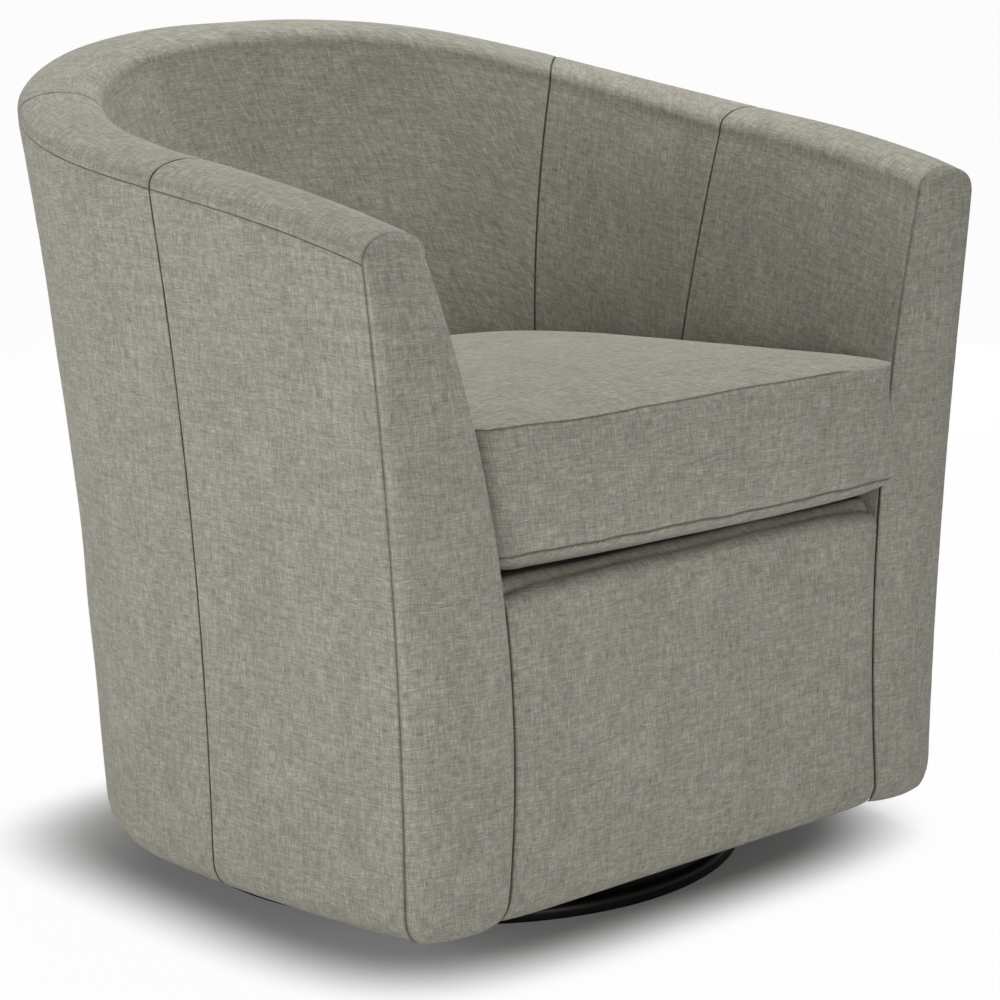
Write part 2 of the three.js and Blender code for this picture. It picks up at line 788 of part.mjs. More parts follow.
// Zigzag spring wire that lies on the front and back boards
class SpringPath extends THREE.Curve {
  constructor(x) {
    super();
    this.x = x;
  }

  getPoint(t) {
    const y = lerp(-frontBoardDepth + springWire, boxEnd - springWire, t);
    const swing = springSwing * Math.sin(2 * Math.PI * springWaves * t);
    return new THREE.Vector3(this.x + swing, y, deckHeight(y, springOffset));
  }
}

function spring(x) {
  const wire = new THREE.Shape();
  for (let i = 0; i < springSides; i++) {
    const angle = 2 * Math.PI * i / springSides;
    const [across, up] = [springWire / 2 * Math.cos(angle), springWire / 2 * Math.sin(angle)];
    if (i === 0) {
      wire.moveTo(across, up);
    } else {
      wire.lineTo(across, up);
    }
  }
  wire.closePath();
  const steps = springWaves * springStepsPerWave;
  return tidy(new THREE.ExtrudeGeometry(wire, { steps, extrudePath: new SpringPath(x), curveSegments: 1 }));
}

for (let i = 0; i < springCount; i++) {
  add(tub, `seat_spring_${i + 1}`, spring((i - (springCount - 1) / 2) * springSpacing), springSteel);
}

// Bar that clips the spring ends down on a board.
function clipBar(y) {
  const half = (springCount - 1) / 2 * springSpacing + clipBarOverhang;
  const ends = (offset) => [[-half, y], [half, y], [half, y + clipBarWidth], [-half, y + clipBarWidth]]
    .map(([x, place]) => [x, place, deckHeight(place, offset)]);
  const middle = y + clipBarWidth / 2;
  const top = clipOffset + clipBarThickness;
  return loft([ends(clipOffset), ends(top)],
    [0, middle, deckHeight(middle, clipOffset)], [0, middle, deckHeight(middle, top)]);
}

const clipMargin = (boardThickness - clipBarWidth) / 2;
add(tub, 'spring_clips_front', clipBar(-frontBoardDepth + clipMargin), steel);
add(tub, 'spring_clips_back', clipBar(backBoardFront + clipMargin), steel);

// Sloping layer over the springs, bounded by the inner face of the wall and a straight front edge.
function seatLayer(offset, thickness, frontDepth) {
  const end = armRunAt(-frontDepth, seatBoxHeight);
  const outline = (height) => {
    const points = [];
    for (let i = 0; i <= wallSteps; i++) {
      const run = stationRun(i, armHeight, end);
      const [x, y] = innerPoint(run, wallDeckHeight(run, offset), -deckEdgeInset);
      points.push([x, y, deckHeight(y, height)]);
    }
    return points;
  };
  const centre = (height) => [0, -cushionCentreDepth, deckHeight(-cushionCentreDepth, height)];
  const top = offset + thickness;
  return loft([outline(offset), outline(top)], centre(offset), centre(top));
}

add(tub, 'seat_pad', seatLayer(padOffset, seatPadThickness, frontBoardDepth - gap), felt);
add(tub, 'seat_deck', seatLayer(deckOffset, deckThickness, railFlapDepth), lining);

// Front rail, in rows: up its face, round its top edge, up to the seat pad and back over it to the deck
const railFaceRows = 9;
const railTurnRows = 4;
const railRiseRows = 1;
const railFlapRows = 2;
const railRows = railFaceRows + railTurnRows + railRiseRows + railFlapRows;
const railSteps = 12;

// a runs from -1 at the left arm to 1 at the right arm. The face follows the inner seams of the arms.
function railPoint(a, row, depth) {
  const drop = railCornerDrop * Math.abs(a) ** railCornerFade;
  const turnLow = railTopHeight - railRadius - drop;
  const faceY = (z) => -innerSeamDepthAt(z) + railSetBack - railSwell * (1 - a ** railSwellFade);
  const width = (z) => a * (innerPoint(wallRun, z, 0)[0] - seamGap);
  if (row <= railFaceRows) {
    const z = lerp(groundClearance, turnLow, row / railFaceRows);
    return [width(z), faceY(z) + depth, z];
  }
  const pivot = faceY(turnLow) + railRadius;
  const radius = railRadius - depth;
  const turn = (row - railFaceRows) / railTurnRows;
  if (turn <= 1) {
    const angle = turn * Math.PI / 2;
    const z = turnLow + radius * Math.sin(angle);
    return [width(z), pivot - radius * Math.cos(angle), z];
  }
  const edge = -frontBoardDepth - gap;
  const rise = (row - railFaceRows - railTurnRows) / railRiseRows;
  const back = Math.max(0, rise - 1) * railRiseRows / railFlapRows;
  const y = rise <= 1 ? lerp(pivot, edge, rise) : lerp(edge, -railFlapDepth - gap, back);
  const padTop = deckHeight(y, padOffset + seatPadThickness + gap + railCoverThickness);
  return [width(seatBoxHeight), y, lerp(turnLow + railRadius, padTop, Math.min(rise, 1)) - depth];
}

const railFace = (depth, rows) => (s, t) => railPoint(2 * s - 1, t * rows, depth);
const railCover = slab(railFace(0, railRows), railFace(railCoverThickness, railRows), railSteps, railRows);
add(tub, 'rail_cover', railCover, fabric);

function railPad() {
  const front = railFace(railCoverThickness + gap, railFaceRows + railTurnRows);
  const back = (s, t) => {
    const [x, , z] = front(s, t);
    return [x, -frontBoardDepth - gap, z];
  };
  return slab(front, back, railSteps, railFaceRows + railTurnRows);
}

add(tub, 'rail_pad', railPad(), foam);

// Seat cushion

const cushion = group();
const cushionFrontDepth = waistInnerSeamDepth + cushionOverhang;
const cushionWallSteps = 11;
const cushionCornerSteps = 3;
const cushionFrontSteps = 4;
const zipSteps = 8;

// Half of a cushion outline, from the middle of the back round one side to the middle of the front.
// It keeps an inset to the inner face of the wall, then turns a rounded corner into the bowed front.
function cushionHalf(height, inset) {
  const cornerY = -(cushionFrontDepth - cushionBow - cushionCornerRadius);
  const level = deckHeight(cornerY, seatOffset + height);
  const end = armRunAt(cornerY, level);
  const half = [];
  let corner = 0;
  for (let i = 0; i <= cushionWallSteps; i++) {
    const run = end * i / cushionWallSteps;
    const [, guess] = innerPoint(run, level, -inset);
    const [x, y] = innerPoint(run, deckHeight(guess, seatOffset + height), -inset);
    half.push([x, y]);
    corner = x;
  }
  const flat = corner - cushionCornerRadius + inset;
  const reach = cushionCornerRadius - inset;
  const bowed = -(cushionFrontDepth - cushionBow - inset);
  for (let i = 1; i <= cushionCornerSteps; i++) {
    const angle = i / cushionCornerSteps * Math.PI / 2;
    half.push([flat + reach * Math.cos(angle), bowed + reach * (1 - Math.sin(angle))]);
  }
  for (let i = 1; i <= cushionFrontSteps; i++) {
    const share = 1 - i / cushionFrontSteps;
    half.push([flat * share, bowed - cushionBow * (1 - share ** 2)]);
  }
  return half;
}

// Whole outline at a height over the cushion's base, drawn towards the centre by a share.
function cushionOutline(height, inset, share, lift) {
  const half = cushionHalf(height, inset);
  const mirrored = half.slice(1, -1).reverse().map(([x, y]) => [-x, y]);
  return [...half, ...mirrored].map(([x, y]) => {
    const place = lerp(-cushionCentreDepth, y, share);
    return [x * share, place, deckHeight(place, seatOffset + lift)];
  });
}

// Shares that place the cover's rows: of the outline and the rise on the underside, of the height and the
// swell on the boxing, and of the outline on the crown
const underShares = [[0.5, 0], [0.88, 0.03], [0.96, 0.35]];
const boxingShares = [[0, 0], [0.25, 0.75], [0.5, 1], [0.75, 0.75], [1, 0]];
const crownShares = [0.96, 0.88, 0.7, 0.4];
const coreEndShare = 0.92;

// Rows from the underside to the crown: share of the outline, height over the base, and swell.
const seamHigh = cushionUnderRise + cushionBoxing;
const crownAt = (share) => seamHigh + cushionCrown * (1 - share ** crownFlatness) ** crownFullness;
const boxingAt = (share) => cushionUnderRise + cushionBoxing * share;
const coverRows = [
  ...underShares.map(([share, rise]) => [share, cushionUnderRise * rise, 0]),
  ...boxingShares.map(([share, swell]) => [1, boxingAt(share), swell]),
  ...crownShares.map((share) => [share, crownAt(share), 0]),
];
const coreRows = [
  [coreEndShare, 0, 0], [1, boxingAt(0), 0], [1, boxingAt(1), 0], [coreEndShare, crownAt(coreEndShare), 0],
];

// Body with the cushion's form, held in from its surface by a skin.
function cushionBody(rows, skin) {
  const outlines = rows.map(([share, height, swell]) => {
    const inset = cushionClearance + cushionSwell * (1 - swell) + skin;
    const middle = seamHigh / 2;
    const lift = height + skin * THREE.MathUtils.clamp((middle - height) / middle, -1, 1);
    return cushionOutline(height, inset, share, lift);
  });
  const centre = (height) => [0, -cushionCentreDepth, deckHeight(-cushionCentreDepth, seatOffset + height)];
  return loft(outlines, centre(skin), centre(crownAt(0) - skin));
}

// Strip in the boxing at the back of the cushion, between two depths under its surface.
function zipStrip(halfLength, width, low, high) {
  const face = (skin) => (s, t) => {
    const run = lerp(-halfLength, halfLength, s);
    const height = boxingAt(0.5) + width * (t - 0.5);
    const guess = innerPoint(run, deckHeight(0, seatOffset + height), 0)[1];
    const z = deckHeight(guess, seatOffset + height);
    return innerPoint(run, z, -(cushionClearance + skin));
  };
  return slab(face(low), face(high), zipSteps, 1);
}

const cavity = cushionBody(coreRows, cushionCoverThickness);
const slotDepth = cushionCoverThickness + 2 * cushionSwell;
const zipSlot = zipStrip(zipHalfLength + gap, zipWidth + 2 * gap, -cutOverrun, slotDepth);
add(cushion, 'cushion_cover', cut(cushionBody(coverRows, 0), [cavity, zipSlot]), fabric);
add(cushion, 'cushion_core', cushionBody(coreRows, cushionCoverThickness + gap), foam);
add(cushion, 'cushion_zip', zipStrip(zipHalfLength, zipWidth, gap, cushionCoverThickness), lining);

// Round base and swivel

const base = group();
const cage = group();

const hubTop = baseThickness + hubHeight;
const baseProfile = [
  [0, 0], [baseRadius - baseFootChamfer, 0], [baseRadius, baseFootChamfer],
  [baseRadius, baseThickness - baseChamfer], [baseRadius - baseChamfer, baseThickness],
  [hubRadius, baseThickness], [hubRadius, hubTop], [0, hubTop],
];
const lowerScrewLow = lowerPlateHigh + gap - screwLength;
const baseHoles = screwHoles(lowerScrewOffset, lowerScrewLow - gap, hubTop + cutOverrun);
add(base, 'base_disc', cut(turned(baseProfile, baseSegments), baseHoles), darkWood);

// Square steel plate with rounded corners and holes.
function swivelPlate(low, high, holes) {
  const flat = plateSize / 2 - plateCornerRadius;
  const shape = new THREE.Shape();
  const corners = [[1, -1], [1, 1], [-1, 1], [-1, -1]];
  corners.forEach(([x, y], i) => {
    const start = (i - 1) * Math.PI / 2;
    shape.absarc(x * flat, y * flat, plateCornerRadius, start, start + Math.PI / 2, false);
  });
  shape.closePath();
  return cut(plate(shape, low, high, plateCornerSegments), holes);
}

// Screw with its head on one side of low, the shank running the other way to high.
function screw(seat, tip, x, y) {
  const away = Math.sign(seat - tip);
  const head = seat + away * screwHeadThickness;
  return turned([[0, tip], [screwRadius, tip], [screwRadius, seat], [screwHeadRadius, seat],
    [screwHeadRadius, (seat + head) / 2], [screwHeadRadius / 2, head], [0, head]], screwSegments, x, y);
}

const lowerHoleLow = lowerPlateLow - cutOverrun;
const lowerPlateHoles = screwHoles(lowerScrewOffset, lowerHoleLow, lowerPlateHigh + cutOverrun);
const pinHeadLow = upperPlateHigh + gap;
const pinHeadHigh = pinHeadLow + pinHeadThickness;
const pinProfile = [
  [0, lowerPlateLow], [pinRadius, lowerPlateLow], [pinRadius, pinHeadLow], [pinHeadRadius, pinHeadLow],
  [pinHeadRadius, pinHeadHigh], [0, pinHeadHigh],
];
const lowerPlate = swivelPlate(lowerPlateLow, lowerPlateHigh, lowerPlateHoles);
add(base, 'swivel_plate_lower', join([lowerPlate, turned(pinProfile, pinSegments)]), steel);
const pinHoleHigh = upperPlateHigh + cutOverrun;
const pinHole = rod(pinRadius + gap, upperPlateLow - cutOverrun, pinHoleHigh, pinSegments);
const upperPlateHoles = [pinHole, ...upperHoles(upperPlateLow, upperPlateHigh)];
add(tub, 'swivel_plate_upper', swivelPlate(upperPlateLow, upperPlateHigh, upperPlateHoles), steel);
screwPlaces(lowerScrewOffset).forEach(([x, y], i) => {
  add(base, `base_screw_${i + 1}`, screw(lowerPlateHigh + gap, lowerScrewLow, x, y), steel);
});
screwPlaces(upperScrewOffset).forEach(([x, y], i) => {
  add(tub, `tub_screw_${i + 1}`, screw(upperPlateLow - gap, upperScrewHigh, x, y), steel);
});

const spacerHoleRadius = pinHeadRadius + pinHeadClearance;
const spacerHole = rod(spacerHoleRadius, spacerLow - cutOverrun, spacerHigh + cutOverrun, pinSegments);
const spacer = rod(hubRadius, spacerLow, spacerHigh, spacerSegments);
add(tub, 'swivel_spacer', cut(spacer, [spacerHole, ...upperHoles(spacerLow, spacerHigh)]), timber);

// Ring that keeps the balls apart between the plates, with its balls
function ballCage() {
  const middle = lowerPlateHigh + gap + ballDiameter / 2;
  const [low, high] = [middle - cageThickness / 2, middle + cageThickness / 2];
  const innerRadius = ballCircleRadius - cageHalfWidth;
  const hole = rod(innerRadius, low - cutOverrun, high + cutOverrun, cageSegments);
  const ring = cut(rod(ballCircleRadius + cageHalfWidth, low, high, cageSegments), [hole]);
  const parts = [ring];
  for (let i = 0; i < ballCount; i++) {
    const angle = 2 * Math.PI * i / ballCount;
    const ball = new THREE.SphereGeometry(ballDiameter / 2, ballSegments, ballSegments / 2);
    ball.rotateX(Math.PI / 2);
    ball.translate(ballCircleRadius * Math.cos(angle), ballCircleRadius * Math.sin(angle), middle);
    parts.push(tidy(ball));
  }
  return join(parts);
}

add(cage, 'ball_cage', ballCage(), nylon);

export default chair;
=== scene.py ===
"""Swivel barrel chair, dressed: woven cover panels, a stuffed seat cushion, the inner padding and linings,
the lacquered base, and a plain studio round it. Lengths are worked out in millimetres and stored in
metres."""

import json

import bpy
import numpy as np
from mathutils import Matrix, Vector


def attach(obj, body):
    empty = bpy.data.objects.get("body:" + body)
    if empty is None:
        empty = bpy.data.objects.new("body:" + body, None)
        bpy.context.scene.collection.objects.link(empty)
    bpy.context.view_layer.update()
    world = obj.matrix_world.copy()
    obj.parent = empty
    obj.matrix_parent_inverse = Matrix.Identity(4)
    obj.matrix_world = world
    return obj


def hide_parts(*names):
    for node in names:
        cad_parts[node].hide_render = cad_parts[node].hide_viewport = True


bl_info = {
    "name": "Swivel Barrel Chair",
    "version": (1, 0, 0),
    "blender": (4, 5, 0),
    "location": "View3D > Sidebar > Chair",
    "description": "Builds the cloth, padding, finishes and studio of a swivel barrel chair",
    "category": "Object",
}

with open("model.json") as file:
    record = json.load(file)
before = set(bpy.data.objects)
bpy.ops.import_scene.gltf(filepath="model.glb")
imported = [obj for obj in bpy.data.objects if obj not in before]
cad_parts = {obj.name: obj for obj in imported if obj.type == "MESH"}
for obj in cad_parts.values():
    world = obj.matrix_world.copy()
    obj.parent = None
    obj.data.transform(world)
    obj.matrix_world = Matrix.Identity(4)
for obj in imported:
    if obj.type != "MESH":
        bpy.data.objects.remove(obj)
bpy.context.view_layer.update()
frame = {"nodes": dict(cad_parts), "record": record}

MM = 0.001

# Clearances, in millimetres
GAP = 0.3
COVER_GAP = 0.4
LAYER_GAP = 1.0
POST_GAP = 2.2
PAD_GAP = 3.0

# Wall of the tub: sizes at the foot, the waist and the top
GROUND = 50.0
TUB_LEVELS = (GROUND, 400.0, 785.0)
ARM_LEVELS = (GROUND, 400.0, 662.0)
HALF_WIDTHS = (376.0, 375.0, 410.0)
BACK_DEPTHS = (292.0, 307.0, 379.0)
FRONT_HALF_WIDTHS = (342.0, 357.0, 386.0)
ARM_THICKNESSES = (96.0, 105.0, 64.0)
SIDE_THICKNESSES = (144.0, 124.0, 57.0)
BACK_THICKNESSES = (235.0, 105.0, 84.0)
OUTER_SEAM_DEPTH = 316.0
INNER_SEAM_DEPTHS = (336.0, 327.0, 308.0)
BACK_START = -11.0
ROUNDNESSES = (2.05, 2.57, 2.57)
BACK_SHARE = 0.6
ARM_HEIGHT = 662.0
CREST = (717.0, 688.0, 785.0)
RIM_RISE = 24.0
RIM_FULLNESS = 0.8
TUCK = 12.0
TUCK_HEIGHT = 32.0
TUCK_POWER = 3

# Seams of the panels, as runs round the outside from the middle of the back
FOOT_RUNS = (644.0, 290.0)
RIM_RUNS = (603.0, 361.0)
SEAM_GAP = 0.5

# Layers of the wall
COVER = 4.0
LINER = 3.0
FRONT_COVER = 3.0
FRONT_PAD = 8.0
FRONT_SWELL = 12.0
FRONT_FADE = 8
POST_DEPTH = COVER + COVER_GAP + LINER + POST_GAP
POST_SHARE = 0.5
POST_WIDTH = 18.0
PAD_INSET = COVER + GAP
CLOTH = 0.8

# Seat: heights over a seat box whose top slopes down to the back
SEAT_SLOPE = np.tan(np.radians(3.4))
BOARD = 18.0
BOX_HEIGHT = 336.0
BOX_FRONT = 306.0
SPRING_WIRE = 3.8
CLIP_BAR = 1.5
PAD_OFFSET = GAP + SPRING_WIRE + GAP + CLIP_BAR + GAP
FELT = 8.0
DECK_OFFSET = PAD_OFFSET + FELT + GAP
DECK = 3.0
SEAT_OFFSET = DECK_OFFSET + DECK + GAP
EDGE_INSET = 1.5
FLAP_DEPTH = 266.0

# Front rail
RAIL_TOP = 348.0
RAIL_COVER = 3.0
RAIL_RADIUS = 12.0
RAIL_SET_BACK = 2.0
RAIL_SWELL = 6.0
RAIL_SWELL_FADE = 12
RAIL_DROP = 8.0
RAIL_DROP_FADE = 8

# Seat cushion
CUSHION_FRONT = 348.0
CUSHION_BOW = 14.0
CUSHION_CORNER = 28.0
CUSHION_CLEARANCE = 3.0
PATTERN_INSET = 3.5
UNDER_RISE = 20.0
BOXING = 113.0
CROWN = 13.0
CUSHION_CENTRE = -56.0


# Colours and materials

def rgb(hex_colour):
    """Linear red, green and blue of an sRGB hex colour."""
    parts = np.array([int(hex_colour[i:i + 2], 16) for i in (0, 2, 4)]) / 255
    low = parts / 12.92
    high = ((parts + 0.055) / 1.055) ** 2.4
    return tuple(np.where(parts <= 0.04045, low, high).tolist())


def node(tree, kind, output=0, settings=None, links=None, values=None, stops=()):
    """Adds a shader node with its settings, its input values, its links from other nodes' outputs and, on a
    colour ramp, its stops of a position and a colour. Gives back one of its outputs."""
    made = tree.nodes.new(kind)
    for name, value in (settings or {}).items():
        setattr(made, name, value)
    for name, value in (values or {}).items():
        made.inputs[name].default_value = value
    for name, source in (links or {}).items():
        tree.links.new(source, made.inputs[name])
    if stops:
        elements = made.color_ramp.elements
        while len(elements) < len(stops):
            elements.new(0.5)
        for element, (position, colour) in zip(elements, stops):
            element.position = position
            element.color = (*colour[:3], 1.0)
    return made.outputs[output]


def new_material(name, colour, roughness, metallic=0.0, **shader_values):
    """A named material with its shader's own values set, and the tree to add a pattern to."""
    made = bpy.data.materials.new(name)
    made.use_nodes = True
    made.diffuse_color = (*colour[:3], 1.0)
    shader = made.node_tree.nodes["Principled BSDF"]
    values = {"Base Color": (*colour[:3], 1.0), "Roughness": roughness, "Metallic": metallic, **shader_values}
    for key, value in values.items():
        shader.inputs[key.replace("_", " ")].default_value = value
    return made, made.node_tree


def joined(made, tint=None, gloss=None, relief=None):
    """Joins patterns to a material's shader. The tint is a shade and its colour stops, the gloss a shade and
    its lowest and highest roughness, and the relief a height, its depth in metres and its strength."""
    tree = made.node_tree
    shader = tree.nodes["Principled BSDF"]
    if tint:
        shade, stops = tint
        colour = node(tree, "ShaderNodeValToRGB", links={"Fac": shade}, stops=stops)
        tree.links.new(colour, shader.inputs["Base Color"])
    if gloss:
        shade, low, high = gloss
        spread = node(tree, "ShaderNodeMapRange", links={"Value": shade},
                      values={"To Min": low, "To Max": high})
        tree.links.new(spread, shader.inputs["Roughness"])
    if relief:
        height, depth, strength = relief
        normal = node(tree, "ShaderNodeBump", links={"Height": height},
                      values={"Strength": strength, "Distance": depth})
        tree.links.new(normal, shader.inputs["Normal"])
    return made


def mottle(tree, place, scale, detail=2.0, roughness=0.55):
    """Noise over a place stretched by scale, given as repeats per metre along each axis."""
    stretched = node(tree, "ShaderNodeMapping", links={"Vector": place}, values={"Scale": scale})
    return node(tree, "ShaderNodeTexNoise", links={"Vector": stretched},
                values={"Scale": 1.0, "Detail": detail, "Roughness": roughness})


def mixed(tree, parts):
    """Weighted sum of pairs of a shade and its weight, taken about their middle of 0.5."""
    total = None
    for shade, weight in parts:
        centred = node(tree, "ShaderNodeMath", 0, {"operation": "SUBTRACT"}, {0: shade}, {1: 0.5})
        weighted = node(tree, "ShaderNodeMath", 0, {"operation": "MULTIPLY"}, {0: centred}, {1: weight})
        links = {0: weighted, 1: total} if total else {0: weighted}
        total = node(tree, "ShaderNodeMath", 0, {"operation": "ADD"}, links, {1: 0.5})
    return total


def linen_weave(colours):
    """Polyester and linen upholstery weave, plain woven from slubbed yarn of mixed grey and taupe fibres.
    The eye gets short faint streaks along both yarns, patches that lean warm or cool, rare pale slubs, and a
    matt surface. Real yarns are about 0.6 mm apart; the streaks are drawn 1.4 mm wide so that they show."""
    made, tree = new_material("LinenWeave", colours.cloth_middle, 0.95, Sheen_Weight=0.06,
                              Sheen_Roughness=0.6, Specular_IOR_Level=0.15)
    cloth = node(tree, "ShaderNodeUVMap", "UV", {"uv_map": "cloth"})

    def yarn(along, across, detail=2.0):
        """Streaks along the upright yarn and along the level one, as two noises with the same sizes."""
        return [mottle(tree, cloth, scale, detail) for scale in ((across, along, 1), (along, across, 1))]

    fine, coarse, slub = yarn(95, 720), yarn(28, 190), yarn(55, 560, 1.0)
    parts = [(mottle(tree, cloth, (640, 640, 1)), 0.45), (mottle(tree, cloth, (15, 12, 1)), 0.2)]
    parts += [(streak, 0.8) for streak in fine] + [(streak, 0.42) for streak in coarse]
    shade = mixed(tree, parts)
    tint = node(tree, "ShaderNodeValToRGB", links={"Fac": shade},
                stops=[(0.1, colours.cloth_dark), (0.5, colours.cloth_middle), (0.9, colours.cloth_light)])
    lean = node(tree, "ShaderNodeValToRGB", links={"Fac": mottle(tree, cloth, (60, 75, 1), 3)},
                stops=[(0.36, colours.cloth_cool), (0.64, colours.cloth_warm)])
    leaning = node(tree, "ShaderNodeMixRGB", 0, {"blend_type": "MULTIPLY"}, {"Color1": tint, "Color2": lean},
                   {"Fac": 1.0})
    rare = {"From Min": 0.69, "From Max": 0.78, "To Min": 0.0, "To Max": 0.5}
    pale = [node(tree, "ShaderNodeMapRange", links={"Value": streak}, values=rare) for streak in slub]
    either = node(tree, "ShaderNodeMath", 0, {"operation": "MAXIMUM"}, dict(enumerate(pale)))
    slubbed = node(tree, "ShaderNodeMixRGB", links={"Fac": either, "Color1": leaning},
                   values={"Color2": (*colours.cloth_slub[:3], 1.0)})
    # Painted shade: the seam attribute mixes the cloth towards the seam shade colour in the crevices of the
    # seams and in the tuck under the cushion
    seam = node(tree, "ShaderNodeAttribute", "Fac", {"attribute_name": "seam"})
    seam_shaded = node(tree, "ShaderNodeMixRGB", links={"Fac": seam, "Color1": slubbed},
                  values={"Color2": (*colours.seam_shade_colour[:3], 1.0)})
    tree.links.new(seam_shaded, tree.nodes["Principled BSDF"].inputs["Base Color"])
    return joined(made, relief=(shade, 0.0003, 0.35))


def cut_foam(colours):
    """Polyurethane foam, sawn from a block: matt, pale yellow, with open cells about 1 mm across."""
    made, tree = new_material("PolyurethaneFoam", colours.foam, 0.95, Specular_IOR_Level=0.2)
    place = node(tree, "ShaderNodeTexCoord", "Object")
    cells = node(tree, "ShaderNodeTexVoronoi", "Distance", links={"Vector": place}, values={"Scale": 900.0})
    cloud = mottle(tree, place, (12, 12, 12))
    return joined(made, (cloud, [(0.3, rgb("d8cd9f")), (0.7, colours.foam)]), relief=(cells, 0.0006, 0.5))


def frame_timber(colours):
    """Pine and plywood of an inner frame, sawn and left bare: dry, pale, with grain lines 3 mm apart."""
    made, tree = new_material("SawnPine", colours.timber, 0.75)
    place = node(tree, "ShaderNodeTexCoord", "Object")
    grain = mottle(tree, place, (330, 330, 9), 4, 0.6)
    shade = mixed(tree, [(grain, 0.9), (mottle(tree, place, (40, 40, 2), 2), 0.7)])
    stops = [(0.25, rgb("a67f4e")), (0.55, colours.timber), (0.8, rgb("d9bb8d"))]
    return joined(made, (shade, stops), relief=(grain, 0.0004, 0.4))


def tack_card():
    """Grey-brown chipboard card, pressed from waste paper: dull, with short fibre flecks of 2 mm."""
    made, tree = new_material("ChipboardCard", rgb("a58a62"), 0.9)
    fibres = mottle(tree, node(tree, "ShaderNodeTexCoord", "Object"), (420, 420, 180), 3)
    return joined(made, (fibres, [(0.3, rgb("8d7450")), (0.7, rgb("b39a72"))]), relief=(fibres, 0.0002, 0.3))


def spunbond_lining(colours):
    """Black spunbond polypropylene lining, heat bonded: matt, with a dot emboss every 2 mm."""
    made, tree = new_material("SpunbondLining", colours.lining, 0.85, Specular_IOR_Level=0.3)
    place = node(tree, "ShaderNodeTexCoord", "Object")
    dots = node(tree, "ShaderNodeTexVoronoi", "Distance", links={"Vector": place},
                values={"Scale": 500.0, "Randomness": 0.15})
    fibres = mottle(tree, place, (700, 160, 160), 3)
    return joined(made, (fibres, [(0.3, rgb("121110")), (0.7, rgb("2a2927"))]), relief=(dots, 0.0003, 0.5))


def needled_felt():
    """Grey needled felt pad of recycled fibres: woolly, with mixed flecks of 3 mm."""
    made, tree = new_material("NeedledFelt", rgb("8a8a86"), 1.0, Sheen_Weight=0.2, Sheen_Roughness=0.7)
    flecks = mottle(tree, node(tree, "ShaderNodeTexCoord", "Object"), (330, 330, 330), 4, 0.7)
    stops = [(0.3, rgb("64645f")), (0.5, rgb("8a8a86")), (0.72, rgb("b3b1aa"))]
    return joined(made, (flecks, stops), relief=(flecks, 0.0012, 0.6))


def lacquered_base(colours):
    """Fibreboard disc stained near black and lacquered thinly: black where it faces the floor, with a soft
    sheen along its rounded edge."""
    made, tree = new_material("StainedLacquer", colours.base, 0.4, Specular_IOR_Level=0.1)
    place = node(tree, "ShaderNodeTexCoord", "Object")
    grain = mottle(tree, place, (14, 220, 220), 4, 0.6)
    wear = mottle(tree, place, (60, 60, 60), 3)
    return joined(made, (grain, [(0.3, rgb("050403")), (0.72, colours.base)]), (wear, 0.34, 0.46),
                  (grain, 0.0001, 0.2))


def plated_steel():
    """Zinc-plated mild steel, pressed or rolled: grey, with faint spangle of 4 mm and fine rolling lines."""
    made, tree = new_material("ZincPlatedSteel", rgb("a3a7ab"), 0.38, 1.0)
    place = node(tree, "ShaderNodeTexCoord", "Object")
    spangle = node(tree, "ShaderNodeTexVoronoi", "Distance", links={"Vector": place}, values={"Scale": 250.0})
    lines = mottle(tree, place, (30, 900, 900), 2)
    return joined(made, gloss=(spangle, 0.3, 0.5), relief=(lines, 0.0001, 0.25))


def spring_wire():
    """Oil-tempered spring steel wire, drawn and blued: dark, with slight streaks and scale of 3 mm."""
    made, tree = new_material("OilTemperedWire", rgb("4a4b4e"), 0.42, 1.0)
    scale = mottle(tree, node(tree, "ShaderNodeTexCoord", "Object"), (300, 300, 300), 3)
    return joined(made, (scale, [(0.3, rgb("34353a")), (0.7, rgb("5b5c60"))]), relief=(scale, 0.0001, 0.2))


def moulded_nylon():
    """Natural nylon, injection moulded: off-white, slightly waxy, with a fine orange-peel skin of 2 mm."""
    made, tree = new_material("MouldedNylon", rgb("d8d6cf"), 0.45, Subsurface_Weight=0.1)
    peel = mottle(tree, node(tree, "ShaderNodeTexCoord", "Object"), (500, 500, 500), 2)
    return joined(made, gloss=(peel, 0.38, 0.52), relief=(peel, 0.0001, 0.2))


def material(name):
    """The named material, made once from the scene's colours."""
    colours = bpy.context.scene.chair_colours
    makers = {
        "LinenWeave": lambda: linen_weave(colours),
        "PolyurethaneFoam": lambda: cut_foam(colours),
        "SawnPine": lambda: frame_timber(colours),
        "ChipboardCard": tack_card,
        "SpunbondLining": lambda: spunbond_lining(colours),
        "NeedledFelt": needled_felt,
        "StainedLacquer": lambda: lacquered_base(colours),
        "ZincPlatedSteel": plated_steel,
        "OilTemperedWire": spring_wire,
        "MouldedNylon": moulded_nylon,
    }
    return bpy.data.materials.get(name) or makers[name]()


# Wall of the tub, as whole arrays

def lerp(a, b, share):
    return a + (b - a) * share


def parabola(levels, sizes, z):
    """Value at height z of the parabola through three sizes at three levels."""
    z0, z1, z2 = levels
    low = (z - z1) * (z - z2) / ((z0 - z1) * (z0 - z2))
    middle = (z - z0) * (z - z2) / ((z1 - z0) * (z1 - z2))
    high = (z - z0) * (z - z1) / ((z2 - z0) * (z2 - z1))
    return sizes[0] * low + sizes[1] * middle + sizes[2] * high


def tuck_at(z):
    """How far the wall is drawn in at height z: a power of how far down towards the foot the place lies."""
    return TUCK * np.maximum(0, 1 - (z - GROUND) / TUCK_HEIGHT) ** TUCK_POWER


def inner_seam_depth(z):
    return parabola(ARM_LEVELS, INNER_SEAM_DEPTHS, z) - tuck_at(z)


